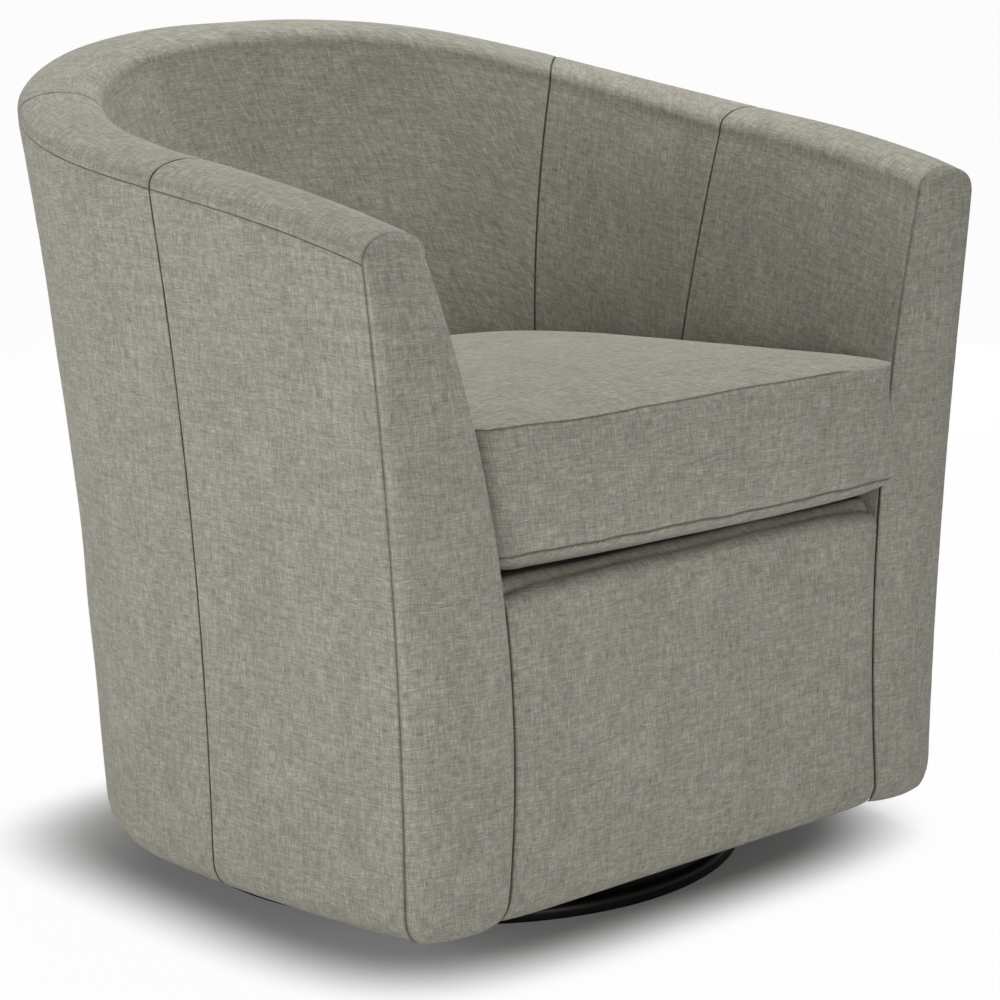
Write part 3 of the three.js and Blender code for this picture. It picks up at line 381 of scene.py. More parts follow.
def wall_plan(u, z, inside):
    """Plan of one face of the wall at height z. The back is a superellipse, and the arms bend in by the
    square of how far along them a place is. u runs from -1 at the left arm front to 1 at the right one."""
    half = parabola(TUB_LEVELS, HALF_WIDTHS, z)
    depth = parabola(TUB_LEVELS, BACK_DEPTHS, z)
    front_half = parabola(ARM_LEVELS, FRONT_HALF_WIDTHS, z)
    front = -OUTER_SEAM_DEPTH
    if inside:
        half = half - parabola(TUB_LEVELS, SIDE_THICKNESSES, z)
        depth = depth - parabola(TUB_LEVELS, BACK_THICKNESSES, z)
        front_half = front_half - parabola(ARM_LEVELS, ARM_THICKNESSES, z)
        front = -inner_seam_depth(z)
    else:
        half, depth, front_half = (size - tuck_at(z) for size in (half, depth, front_half))
    along = np.abs(u)
    angle = np.minimum(along / BACK_SHARE, 1) * np.pi / 2
    cosine = np.maximum(np.cos(angle), 0)
    power = 2 / parabola(TUB_LEVELS, ROUNDNESSES, z)
    back_x = half * np.sin(angle) ** power
    back_y = BACK_START + (depth - BACK_START) * cosine ** power
    reach = np.maximum(along - BACK_SHARE, 0) / (1 - BACK_SHARE)
    arm_x = lerp(half, front_half, reach ** 2)
    arm_y = lerp(BACK_START, front, reach)
    on_back = along < BACK_SHARE
    return np.sign(u) * np.where(on_back, back_x, arm_x), np.where(on_back, back_y, arm_y)


# Runs round the outside at the waist, for places from the middle of the back to an arm front
RUN_STEPS = 600
RUN_U = np.linspace(0, 1, RUN_STEPS + 1)
RUN_X, RUN_Y = wall_plan(RUN_U, np.full_like(RUN_U, TUB_LEVELS[1]), False)
RUN_TABLE = np.concatenate([[0], np.cumsum(np.hypot(np.diff(RUN_X), np.diff(RUN_Y)))])
WALL_RUN = RUN_TABLE[-1]
COVER_END = WALL_RUN - FRONT_COVER - COVER_GAP
POST_FRONT = WALL_RUN - FRONT_COVER - LAYER_GAP - FRONT_PAD - LAYER_GAP
PAD_END = POST_FRONT - POST_WIDTH - PAD_GAP


def u_at_run(run):
    return np.sign(run) * np.interp(np.abs(run), RUN_TABLE, RUN_U)


def run_at_u(u):
    return np.interp(u, RUN_U, RUN_TABLE)


def wall_thickness(run, z):
    u = u_at_run(run)
    x0, y0 = wall_plan(u, z, False)
    x1, y1 = wall_plan(u, z, True)
    return np.hypot(x1 - x0, y1 - y0)


def wall_point(run, z, depth):
    """Point in the wall, at a depth from its outer face, measured straight across to the inner face."""
    run, z, depth = np.broadcast_arrays(run, np.asarray(z, float), depth)
    u = u_at_run(run)
    x0, y0 = wall_plan(u, z, False)
    x1, y1 = wall_plan(u, z, True)
    share = depth / np.hypot(x1 - x0, y1 - y0)
    return np.stack([lerp(x0, x1, share), lerp(y0, y1, share), z], -1)


def inner_point(run, z, depth):
    return wall_point(run, z, wall_thickness(run, z) - depth)


def rim_seam_height(run):
    """Height of the seam under the rim: a cubic of how far back the place lies at arm height."""
    level = np.full(np.shape(run), ARM_HEIGHT)
    front = wall_plan(np.array(1.0), np.array(ARM_HEIGHT), False)[1]
    back = wall_plan(np.array(0.0), np.array(ARM_HEIGHT), False)[1]
    here = wall_plan(u_at_run(run), level, False)[1]
    t = (here - front) / (back - front)
    s = 1 - t
    middle = 3 * CREST[0] * t * s ** 2 + 3 * CREST[1] * t ** 2 * s
    return ARM_HEIGHT * s ** 3 + middle + CREST[2] * t ** 3 - RIM_RISE


def rim_point(run, v, depth):
    """Point on the rounded rim, v from 0 at the outer seam to 1 at the inner edge. Across the wall it moves
    with a cosine, and it rises by a power of the sine."""
    seam = rim_seam_height(run)
    across = (1 - np.cos(np.pi * v)) / 2
    rise = (RIM_RISE - depth) * np.maximum(0, np.sin(np.pi * v)) ** RIM_FULLNESS
    edge = lerp(wall_point(run, seam, depth), inner_point(run, seam, depth), across[..., None])
    return np.stack([edge[..., 0], edge[..., 1], seam + rise], -1)


def deck_height(y, offset):
    return BOX_HEIGHT + offset - SEAT_SLOPE * (y + BOX_FRONT)


def inside_cover_low(run):
    """Height where the inside cover ends: on the seat, and at the arm fronts below the front rail's
    corner."""
    y = inner_point(run, BOX_HEIGHT, 0)[..., 1]
    box_front = -BOX_FRONT + BOARD + GAP
    front = -inner_seam_depth(BOX_HEIGHT)
    forward = np.clip((y - box_front) / (front - box_front), 0, None)
    return lerp(deck_height(y, SEAT_OFFSET), RAIL_TOP - 2 * RAIL_RADIUS - RAIL_DROP, forward)


def post_inner_depth(run, z):
    return POST_DEPTH + (wall_thickness(run, z) - POST_DEPTH - PAD_INSET) * POST_SHARE


def seam_run(seam, z):
    """Run at height z of one of the six seams, which lean evenly between the foot and the rim."""
    feet = (-WALL_RUN, -FOOT_RUNS[0], -FOOT_RUNS[1], FOOT_RUNS[1], FOOT_RUNS[0], WALL_RUN)
    rims = (-WALL_RUN, -RIM_RUNS[0], -RIM_RUNS[1], RIM_RUNS[1], RIM_RUNS[0], WALL_RUN)
    climb = np.minimum((z - GROUND) / (ARM_HEIGHT - GROUND), 1)
    return lerp(feet[seam], rims[seam], climb)


def panel_run(panel, s, z):
    run = lerp(seam_run(panel, z) + SEAM_GAP / 2, seam_run(panel + 1, z) - SEAM_GAP / 2, s)
    return np.clip(run, -COVER_END, COVER_END)


def arm_run_at(y, z):
    front = wall_plan(np.array(1.0), np.array(z), True)[1]
    return run_at_u(BACK_SHARE + (1 - BACK_SHARE) * (y - BACK_START) / (front - BACK_START))


# Meshes from grids

# Painted shade in the crevices of the seams: how dark, and how wide in millimetres
NO_SEAM_SHADE = (0.0, 1.0)
FAINT_SEAM_SHADE = (0.3, 0.8)
THIN_SEAM_SHADE = (0.8, 0.9)
WIDE_SEAM_SHADE = (1.0, 3.6)

# Puckers beside a seam: how far they reach, and their waves
PUCKER_REACH = 14
PUCKER_WAVES = (9, 9, 34)

# Waves of each stretched cover: how many, the shortest and the longest
OUTSIDE_WAVES = (8, 90, 330)
INSIDE_WAVES = (8, 80, 300)
ARM_WAVES = (7, 60, 220)
RAIL_WAVES = (8, 70, 260)

# Distances from an edge at which the first points lie, on covers and on foam
COVER_EDGES = (0.3, 0.8, 1.5, 2.6, 4.5, 7.5)
FOAM_EDGES = (2, 5)

# Spacing of a cover's points, the radii at its edges, its grooves and puckers at the seams, and the width
# beside them where it lies calm
CLOTH_STEP = 7
RAIL_STEP = 6
FLAP_STEP = 5
WALL_ROUND = 1.3
FRONT_ROUND = 1.2
SHEET_ROUND = 0.4
GROOVE_WIDTH = 4.0
ARM_GROOVE = 0.5
RAIL_GROOVE = 0.8
RAIL_GROOVE_WIDTH = 5.0
WALL_PUCKER = 0.22
FRONT_PUCKER = 0.2
WALL_CALM = 40
FRONT_CALM = 30

# Rough lengths of the covers, which set how many points they have
OUTSIDE_RISE = 600
INSIDE_FALL = 350
ARM_RISE = 610
RAIL_WIDTH = 500
RAIL_RISE = 290
FLAP_LENGTH = 40


def spaced(length, step, edges=COVER_EDGES):
    """Shares from 0 to 1 along a length, closer together near both ends."""
    near = np.array(edges)
    middle = np.linspace(near[-1], length - near[-1], max(2, int(round((length - 2 * near[-1]) / step)) + 1))
    return np.concatenate([[0], near[:-1], middle, length - near[-2::-1], [length]]) / length


def arc_lengths(grid, axis):
    """Length along the grid lines of an axis, from their start to each point."""
    steps = np.linalg.norm(np.diff(grid, axis=axis), axis=-1)
    start = np.zeros_like(np.take(steps, [0], axis=axis))
    return np.cumsum(np.concatenate([start, steps], axis=axis), axis=axis)


def edge_distance(grid):
    """Distance of each grid point to the nearest of the grid's four edges, along the grid lines."""
    across = arc_lengths(grid, 0)
    up = arc_lengths(grid, 1)
    return np.minimum(np.minimum(across, across[-1:] - across), np.minimum(up, up[:, -1:] - up))


def ripple(a, b, seed, waves, shortest, longest):
    """Sum of sine waves of set random directions and lengths over two coordinates, from about -1 to 1."""
    random = np.random.default_rng(seed)
    total = np.zeros(np.broadcast(a, b).shape)
    for _ in range(waves):
        turn = 2 * np.pi / random.uniform(shortest, longest)
        heading = random.uniform(0, np.pi)
        total += np.sin(turn * (a * np.cos(heading) + b * np.sin(heading)) + random.uniform(0, 2 * np.pi))
    peak = 1.5
    return total / waves ** 0.5 / peak


def quads(index):
    """Four-sided faces of a grid of vertex numbers."""
    return np.stack([index[:-1, :-1], index[1:, :-1], index[1:, 1:], index[:-1, 1:]], -1).reshape(-1, 4)


def mesh_object(name, points, faces, uvs=None, seam=None):
    """Object from points in millimetres, four-sided faces and, for cloth, a coordinate pair for each corner
    and a value for each point that is 1 on a seam, the painted shade of the seams' crevices and tucks. A face
    whose corners coincide becomes a triangle or is left out, points that no face uses are left out, and the
    faces are turned to point outwards."""
    used, renumbered = np.unique(faces, return_inverse=True)
    points = points[used]
    faces = renumbered.reshape(faces.shape)
    a, b, c, d = (points[faces[:, k]] for k in range(4))
    volume = np.einsum("ij,ij->i", a, np.cross(b, c) + np.cross(c, d)).sum()
    if volume < 0:
        faces = faces[:, ::-1]
        uvs = None if uvs is None else uvs[:, ::-1]
    kept = faces != np.roll(faces, -1, axis=1)
    whole = kept.sum(1) > 2
    faces, kept = faces[whole], kept[whole]
    corners = kept.sum(1)
    mesh = bpy.data.meshes.new(name)
    mesh.vertices.add(len(points))
    mesh.vertices.foreach_set("co", (points * MM).ravel())
    mesh.loops.add(int(corners.sum()))
    mesh.loops.foreach_set("vertex_index", faces[kept])
    mesh.polygons.add(len(faces))
    mesh.polygons.foreach_set("loop_start", np.concatenate([[0], np.cumsum(corners)[:-1]]))
    mesh.polygons.foreach_set("use_smooth", np.ones(len(faces), bool))
    if uvs is not None:
        layer = mesh.uv_layers.new(name="cloth")
        layer.data.foreach_set("uv", (uvs[whole][kept] * MM).ravel())
    if seam is not None:
        mesh.attributes.new("seam", "FLOAT", "POINT").data.foreach_set("value", seam[used])
    mesh.update()
    mesh.validate()
    made = bpy.data.objects.new(name, mesh)
    bpy.context.scene.collection.objects.link(made)
    return made


def slab(name, front, back, radius, groove=0.0, groove_width=6.0, pucker=0.0, seed=0, lines=(THIN_SEAM_SHADE,) * 4,
         depth=0.0):
    """Closed layer between two grids of points. Towards the grids' edges both faces draw in to their middle
    along a quarter circle of the radius. The front sinks by the groove near the edges, less and less with the
    square of the distance, and puckers there along the seams. The lines are the painted shade in the crevices
    of the seams at the start and the end of the first direction, and then of the second, and the depth is
    painted shade that tells how deep in a tuck a place lies."""
    distance = edge_distance(front)
    roundness = np.sqrt(np.maximum(0, 1 - (1 - np.minimum(distance / radius, 1)) ** 2))[..., None]
    middle = (front + back) / 2
    inward = back - front
    inward /= np.maximum(np.linalg.norm(inward, axis=-1, keepdims=True), 1e-6)
    across = arc_lengths(front, 0)
    up = arc_lengths(front, 1)
    sink = groove * np.exp(-(distance / groove_width) ** 2)
    sink = sink + pucker * np.exp(-(distance / PUCKER_REACH) ** 2) * ripple(across, up, seed, *PUCKER_WAVES)
    face = middle + (front - middle) * roundness + inward * (sink * roundness[..., 0])[..., None]
    rear = middle + (back - middle) * roundness
    rows, columns = distance.shape
    outer = np.arange(rows * columns).reshape(rows, columns)
    inner = outer + rows * columns
    inner[[0, -1], :] = outer[[0, -1], :]
    inner[:, [0, -1]] = outer[:, [0, -1]]
    points = np.concatenate([face.reshape(-1, 3), rear.reshape(-1, 3)])
    faces = np.concatenate([quads(outer), quads(inner)[:, ::-1]])
    plane = np.stack([across, up], -1).reshape(-1, 2)
    corners = np.concatenate([quads(outer), quads(outer)[:, ::-1]])
    ways = (across, across[-1:] - across, up, up[:, -1:] - up)
    # Painted shade: darker along the crevices of the seams and deep in the tuck, kept as the seam attribute
    # for the cloth's colour
    seam = np.max([dark * np.exp(-(way / wide) ** 4) for (dark, wide), way in zip(lines, ways)], axis=0)
    seam = np.maximum(seam, depth).ravel()
    return mesh_object(name, points, faces, plane[corners], np.concatenate([seam, seam]))


def dress(piece, finish, body, nodes=()):
    """Gives a piece its material and slot, rides it on its body and lets it stand for the CAD nodes."""
    piece.data.materials.append(material(finish))
    if nodes:
        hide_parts(*nodes)
    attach(piece, body)


PANELS = ("front_left", "rear_left", "back", "rear_right", "front_right")


def grid(s, t):
    return np.meshgrid(s, t, indexing="ij")


def panel_width(panel):
    return float(panel_run(panel, 1.0, ARM_HEIGHT) - panel_run(panel, 0.0, ARM_HEIGHT))


def slack(sizes, face, calm, a, b, seed, waves, share=1.0):
    """Unevenness of a stretched cover, in millimetres: waves over two coordinates, which fade out over the
    calm width beside the face's edges."""
    fade = np.clip(edge_distance(face) / calm, 0, 1)
    return sizes.cloth_slack / MM * share * ripple(a, b, seed, *waves) * fade


def outside_panel(panel, sizes):
    """Outer cover panel from the foot to the rim's seam, and from seam to seam."""
    under_rim = 0.2
    s, t = grid(spaced(panel_width(panel), CLOTH_STEP), spaced(OUTSIDE_RISE, CLOTH_STEP))
    z = lerp(GROUND, rim_seam_height(panel_run(panel, s, ARM_HEIGHT)) - under_rim, t)
    run = panel_run(panel, s, z)
    front = wall_point(run, z, slack(sizes, wall_point(run, z, 0), WALL_CALM, run, z, 11, OUTSIDE_WAVES))
    return slab(f"outside_panel_{PANELS[panel]}", front, wall_point(run, z, COVER), WALL_ROUND,
                sizes.seam_sink / MM, GROOVE_WIDTH, WALL_PUCKER, panel,
                (THIN_SEAM_SHADE, THIN_SEAM_SHADE, NO_SEAM_SHADE, NO_SEAM_SHADE))


def inside_panel(panel, sizes):
    """Cover panel from the rim's seam over the rim and down the inside to the seat."""
    first, rim_rows, length = 0.045, 34, 300
    start = (np.array((0, *COVER_EDGES[:4])) / RIM_RISE) ** (1 / RIM_FULLNESS) / np.pi
    over_rim = np.concatenate([start, np.linspace(first, 1, rim_rows)])
    down = spaced(INSIDE_FALL, CLOTH_STEP)[len(COVER_EDGES):]
    s, t = grid(spaced(panel_width(panel), CLOTH_STEP), np.concatenate([over_rim, 1 + down]))
    run = panel_run(panel, s, ARM_HEIGHT)

    def face(depth):
        over = rim_point(run, np.minimum(t, 1), depth)
        z = lerp(rim_seam_height(run), inside_cover_low(run), np.clip(t - 1, 0, 1))
        return np.where((t <= 1)[..., None], over, inner_point(run, z, depth))

    loose = slack(sizes, face(np.zeros_like(t)), WALL_CALM, run, t * length, 23, INSIDE_WAVES)
    return slab(f"inside_panel_{PANELS[panel]}", face(loose), face(np.full_like(t, COVER)), WALL_ROUND,
                sizes.seam_sink / MM, GROOVE_WIDTH, WALL_PUCKER, 20 + panel,
                (THIN_SEAM_SHADE, THIN_SEAM_SHADE, FAINT_SEAM_SHADE, NO_SEAM_SHADE))


def arm_front(side, across, up, behind, inset, swell):
    """Point of an arm front. Across it goes from the outer to the inner seam, and its top is an arch."""
    run = side * (WALL_RUN - behind)
    seam = rim_seam_height(np.array(run))
    arch = 2 * np.sqrt(np.clip(across * (1 - across), 0, None))
    z = lerp(GROUND, seam + (RIM_RISE - inset) * arch ** RIM_FULLNESS, up)
    level = np.minimum(z, seam)
    runs = np.full_like(z, run)
    flat = lerp(wall_point(runs, level, inset), inner_point(runs, level, inset), across[..., None])
    round_off = np.where(across > 0.5, np.sin(np.pi * across) ** 0.8, arch)
    forward = swell * round_off * np.sqrt(np.clip(1 - up ** FRONT_FADE, 0, 1))
    return np.stack([flat[..., 0], flat[..., 1] - forward, z], -1)


def arm_front_panel(name, side, sizes):
    """Cover of an arm front. Its swell is uneven by a little more than the walls' covers are."""
    columns, width, unevenness = 45, 90, 1.2
    a, up = grid(np.linspace(0, 1, columns), spaced(ARM_RISE, CLOTH_STEP))
    across = (1 - np.cos(np.pi * a)) / 2
    plain = arm_front(side, across, up, 0, 0, FRONT_SWELL)
    loose = slack(sizes, plain, FRONT_CALM, across * width, up * OUTSIDE_RISE, 31 + side, ARM_WAVES,
                  unevenness)
    front = arm_front(side, across, up, 0, 0, FRONT_SWELL - loose)
    back = arm_front(side, across, up, FRONT_COVER, 0, FRONT_SWELL)
    inner = FAINT_SEAM_SHADE if side > 0 else THIN_SEAM_SHADE
    return slab(f"arm_front_panel_{name}", front, back, FRONT_ROUND, ARM_GROOVE, GROOVE_WIDTH, FRONT_PUCKER,
                40 + side, (FAINT_SEAM_SHADE, inner, NO_SEAM_SHADE, FAINT_SEAM_SHADE))


# Rows where the front rail's cover ends its face, its turn over the top, its rise to the pad and its flap
RAIL_ROWS = (9, 13, 14, 16)


def rail_point(a, row, depth):
    """Point of the front rail's cover, a from -1 at the left arm to 1 at the right one. Its rows climb the
    face, turn over the top edge, rise to the seat pad and run back over it."""
    drop = RAIL_DROP * np.abs(a) ** RAIL_DROP_FADE
    turn_low = RAIL_TOP - RAIL_RADIUS - drop

    def face_y(z):
        return -inner_seam_depth(z) + RAIL_SET_BACK - RAIL_SWELL * (1 - a ** RAIL_SWELL_FADE)

    def width(z):
        return a * (inner_point(np.full_like(z, WALL_RUN), z, 0)[..., 0] - COVER_GAP)

    face_rows, turn_rows, rise_rows, flap_rows = RAIL_ROWS
    face_z = lerp(GROUND, turn_low, np.clip(row / face_rows, 0, 1))
    pivot = face_y(turn_low) + RAIL_RADIUS
    radius = RAIL_RADIUS - depth
    angle = np.clip((row - face_rows) / (turn_rows - face_rows), 0, 1) * np.pi / 2
    turn_z = turn_low + radius * np.sin(angle)
    turn_y = pivot - radius * np.cos(angle)
    edge = -BOX_FRONT - GAP
    rise = np.clip((row - turn_rows) / (rise_rows - turn_rows), 0, 1)
    back = np.clip((row - rise_rows) / (flap_rows - rise_rows), 0, 1)
    flap_y = np.where(row <= rise_rows, lerp(pivot, edge, rise), lerp(edge, -FLAP_DEPTH - GAP, back))
    pad_top = deck_height(flap_y, PAD_OFFSET + FELT + GAP + RAIL_COVER)
    flap_z = lerp(turn_low + RAIL_RADIUS, pad_top, smooth(rise)) - depth
    box_level = np.full_like(face_z, BOX_HEIGHT)
    face = np.stack([width(face_z), face_y(face_z) + depth, face_z], -1)
    turned = np.stack([width(turn_z), turn_y, turn_z], -1)
    flap = np.stack([width(box_level), flap_y, flap_z], -1)
    on_face = (row <= face_rows)[..., None]
    on_turn = (row <= turn_rows)[..., None]
    return np.where(on_face, face, np.where(on_turn, turned, flap))


def rail_panel(sizes):
    """The front rail's cover. Painted shade darkens it where it runs into the tuck under the cushion, and in
    a wide band along its left seam.
    """
    face, turn, rise, flap = RAIL_ROWS
    row_rise, painted_tuck_shade, tuck_row, tuck_rows = 28, 0.85, 13.3, 0.9
    rows = np.concatenate([spaced(RAIL_RISE, RAIL_STEP)[:-5] * face, np.linspace(face, turn, 13)[1:],
                           np.linspace(turn, rise, 8)[1:],
                           rise + (flap - rise) * spaced(FLAP_LENGTH, FLAP_STEP)[3:]])
    a, row = grid(2 * spaced(RAIL_WIDTH, CLOTH_STEP) - 1, rows)
    plain = rail_point(a, row, np.zeros_like(a))
    loose = slack(sizes, plain, FRONT_CALM, a * (RAIL_WIDTH / 2), row * row_rise, 51, RAIL_WAVES)
    return slab("rail_panel", rail_point(a, row, loose), rail_point(a, row, np.full_like(a, RAIL_COVER)),
                FRONT_ROUND, RAIL_GROOVE, RAIL_GROOVE_WIDTH, FRONT_PUCKER, 52,
                (WIDE_SEAM_SHADE, FAINT_SEAM_SHADE, NO_SEAM_SHADE, NO_SEAM_SHADE), painted_tuck_shade * smooth((row - tuck_row) / tuck_rows))


# Foam, felt and linings

FOAM_ROUND = 4.0
INSIDE_ROUND = 6.0
FELT_ROUND = 3.0
LAYER_CELLS = 60


def arm_front_foam(name, side):
    """Foam between an arm front's cover and its post, shaped as the cover is."""
    columns, step = 19, 20
    a, up = grid(np.linspace(0, 1, columns), spaced(OUTSIDE_RISE, step, FOAM_EDGES))
    across = (1 - np.cos(np.pi * a)) / 2
    inset = COVER + LAYER_GAP
    front = arm_front(side, across, up, FRONT_COVER + LAYER_GAP, inset, FRONT_SWELL)
    back = arm_front(side, across, up, WALL_RUN - POST_FRONT - LAYER_GAP, inset, 0)
    return slab(f"arm_front_foam_{name}", front, back, FOAM_ROUND)


def rim_foam():
    """Foam on the top band, rounded as the rim is, with its outer and inner seventh cut off."""
    columns, rows = 181, 19
    s, v = grid(np.linspace(-POST_FRONT, POST_FRONT, columns), np.linspace(1 / 7, 6 / 7, rows))
    top = rim_point(s, v, PAD_INSET)
    under = top.copy()
    under[..., 2] = rim_seam_height(s) + LAYER_GAP
    return slab("rim_foam", top, under, FOAM_ROUND)


def inside_foam(name, start, end):
    """Foam between the posts and the inside cover, from the seat up to the rim, between two of the seams."""
    width, column_step, fall, row_step = 500, 15, 400, 18
    s, t = grid(spaced(width, column_step, FOAM_EDGES), spaced(fall, row_step, FOAM_EDGES))
    between = lerp(seam_run(start, ARM_HEIGHT) + GAP, seam_run(end, ARM_HEIGHT) - GAP, s)
    run = np.clip(between, -PAD_END, PAD_END)
    z = lerp(rim_seam_height(run) - GAP, inside_cover_low(run), t)
    outer = wall_point(run, z, post_inner_depth(run, z) + PAD_GAP)
    return slab(f"inside_foam_{name}", inner_point(run, z, PAD_INSET + GAP), outer, INSIDE_ROUND)


def rail_foam():
    """Foam between the front rail's cover and the seat box, up to the end of the cover's turn."""
    face, turn = RAIL_ROWS[:2]
    width, rise, step, turn_points = 490, 280, 16, 9
    rows = np.concatenate([spaced(rise, step, FOAM_EDGES) * face, np.linspace(face, turn, turn_points)[1:]])
    a, row = grid(2 * spaced(width, step, FOAM_EDGES) - 1, rows)
    front = rail_point(a, row, np.full_like(a, RAIL_COVER + GAP))
    back = front.copy()
    back[..., 1] = -BOX_FRONT - GAP
    return slab("rail_foam", front, back, FOAM_ROUND)


def square_rays(count):
    """Grid over a square: share of the way from its middle to its edge, and place along its edge from 0 at
    the middle of the back, through 2 at the middle of the front, to 4."""
    line = np.linspace(-1, 1, count + 1)
    a, b = np.meshgrid(line, line, indexing="ij")
    share = np.maximum(np.abs(a), np.abs(b))
    safe = np.where(share == 0, 1, share)
    x, y = a / safe, b / safe
    right = np.where(y >= 1, x / 2, np.where(x >= 1, 0.5 + (1 - y) / 2, 1.5 + (1 - x) / 2))
    left = np.where(y >= 1, 4 + x / 2, np.where(x <= -1, 3.5 - (1 - y) / 2, 2.5 - (1 + x) / 2))
    return share, np.where(x >= 0, right, left)


def seat_half(front_depth, bow, corner, inset, offset):
    """Half outline of a seat layer, right of the middle: along the inner face, round a corner, along the
    front."""
    wall_points, corner_points, front_points, least_reach = 61, 9, 16, 0.5
    corner_y = -(front_depth - bow - corner)
    level = float(deck_height(corner_y, offset))
    end = float(arm_run_at(corner_y, level))
    run = np.linspace(0, end, wall_points)
    guess = inner_point(run, level, -inset)[:, 1]
    wall = inner_point(run, deck_height(guess, offset), -inset)[:, :2]
    reach = max(corner - inset, least_reach)
    flat = wall[-1, 0] - reach
    turn = np.linspace(0, np.pi / 2, corner_points)[1:]
    front = -(front_depth - bow - inset)
    round_corner = np.stack([flat + reach * np.cos(turn), front + reach * (1 - np.sin(turn))], -1)
    share = np.linspace(1, 0, front_points)[1:]
    front_edge = np.stack([flat * share, front - bow * (1 - share ** 2)], -1)
    return wall, round_corner, front_edge


def seat_outline(places, *shape):
    """Outline points at places from 0 to 4, with the front corners at 1.5 and 2.5."""
    wall, round_corner, front_edge = seat_half(*shape)
    half = np.concatenate([wall, round_corner, front_edge])
    length = np.concatenate([[0], np.cumsum(np.linalg.norm(np.diff(half, axis=0), axis=1))])
    corner = length[len(wall) + len(round_corner) // 2 - 1]
    quarter_share = 0.32
    quarter = corner * quarter_share
    along = np.interp(np.minimum(places, 4 - places), [0, 0.5, 1.5, 2], [0, quarter, corner, length[-1]])
    x = np.interp(along, length, half[:, 0])
    y = np.interp(along, length, half[:, 1])
    return np.where(places > 2, -x, x), y


def seat_plan(front_depth, offset):
    """Plan of a layer on the seat box, filled from the cushion's centre out to its outline, and the share of
    the way out."""
    share, place = square_rays(LAYER_CELLS)
    x, y = seat_outline(place, front_depth, 0.0, 0.0, -EDGE_INSET, offset)
    return x * share, lerp(CUSHION_CENTRE, y, share), share


def seat_felt():
    """Felt pad on the seat box, sloping with it, inside the wall."""
    x, y, _ = seat_plan(BOX_FRONT - GAP, PAD_OFFSET)
    low = np.stack([x, y, deck_height(y, PAD_OFFSET)], -1)
    high = np.stack([x, y, deck_height(y, PAD_OFFSET + FELT)], -1)
    return slab("seat_felt", high, low, FELT_ROUND)


def deck_cloth():
    """Upper face of the deck cloth on the felt pad, sloping with the seat, a grid of points."""
    sag, waves = 0.4, (7, 60, 200)
    x, y, share = seat_plan(FLAP_DEPTH, DECK_OFFSET)
    uneven = sag * ripple(x, y, 71, *waves) * (1 - share ** 2)
    return np.stack([x, y, deck_height(y, DECK_OFFSET + DECK / 2) + uneven], -1)


def dust_cloth():
    """Under face of the dust cover, which closes the tub's foot and lies flat under the bottom board."""
    over_ground = 0.15
    share, place = square_rays(LAYER_CELLS)
    folded = np.minimum(place, 4 - place)
    run = np.interp(folded, [0, 1.5, 2], [0, POST_FRONT, POST_FRONT])
    edge = wall_point(run, GROUND, POST_DEPTH)
    x = edge[..., 0] * np.interp(folded, [0, 1.5, 2], [1, 1, 0])
    x = np.where(place > 2, -x, x) * share
    y = lerp(0.0, edge[..., 1], share)
    return np.stack([x, y, np.full_like(x, GROUND + over_ground)], -1)


def stretched_sheet(name, face):
    """Sheet of cloth that lies over one face, with the size it was cut to and its area, in metres."""
    made = slab(name, face, face + np.array([0, 0, CLOTH]), SHEET_ROUND)
    a, b, c, d = face[:-1, :-1], face[1:, :-1], face[:-1, 1:], face[1:, 1:]
    doubled = (np.linalg.norm(np.cross(b - a, c - a), axis=-1)
               + np.linalg.norm(np.cross(b - d, c - d), axis=-1))
    width, length = np.ptp(face[..., 0]), np.ptp(face[..., 1])
    return made, (width * MM, length * MM), float(doubled.sum() / 2) * MM * MM


def cushion_zip():
    """Closed coil zip at the back of the cushion: a woven tape, and two rows of teeth that mesh on it."""
    height = UNDER_RISE + BOXING / 2
    tape_half, teeth_half, half_width, pitch = 109, 104, 4.6, 3.0
    tape_face, tape_back, tape_round = 0.8, 2.8, 0.8
    tooth_half_length, tooth_half_height, tooth_rise, row_offset = 0.9, 1.1, 0.7, 0.5

    def strip(run, up, depth):
        guess = inner_point(run, deck_height(0.0, SEAT_OFFSET + height), 0)[..., 1]
        return inner_point(run, deck_height(guess, SEAT_OFFSET + height) + up, -CUSHION_CLEARANCE - depth)

    run, up = grid(np.linspace(-tape_half, tape_half, 60), np.linspace(-half_width, half_width, 7))
    tape = slab("zip_tape", strip(run, up, tape_face), strip(run, up, tape_back), tape_round)
    dress(tape, "SpunbondLining", "cushion", ["cushion_zip"])
    centres = np.arange(-teeth_half, teeth_half, pitch)
    corner = np.array([[-1, -1, 0], [1, -1, 0], [1, 1, 0], [-1, 1, 0],
                       [-1, -1, 1], [1, -1, 1], [1, 1, 1], [-1, 1, 1]])
    box = np.array([[0, 3, 2, 1], [4, 5, 6, 7], [0, 1, 5, 4], [1, 2, 6, 5], [2, 3, 7, 6], [3, 0, 4, 7]])
    run = centres[:, None] + corner[:, 0] * tooth_half_length
    row = np.where(np.arange(len(centres)) % 2, row_offset, -row_offset)
    up = row[:, None] + corner[:, 1] * tooth_half_height
    points = strip(run, up, tape_face - corner[:, 2] * tooth_rise)
    faces = (np.arange(len(centres))[:, None, None] * len(corner) + box).reshape(-1, 4)
    dress(mesh_object("zip_teeth", points.reshape(-1, 3), faces), "MouldedNylon", "cushion")


# Seat cushion

CUSHION_CELLS = 52
BOXING_ROWS = 9
FINER = 3
FOAM_CELLS = 40
FOAM_ROWS = 8
FOAM_SKIN = 5.0
CUSHION_GIRTH = 1800
CUSHION_REACH = 260

# Crown of the top, and how the underside rises to its seam
CROWN_SHARE = 0.55
CROWN_FLATNESS = 4
CROWN_FULLNESS = 0.6
UNDER_FLAT = 0.84
UNDER_EDGE = 0.16
UNDER_POWER = 2.2
UNDER_GAP = 0.2

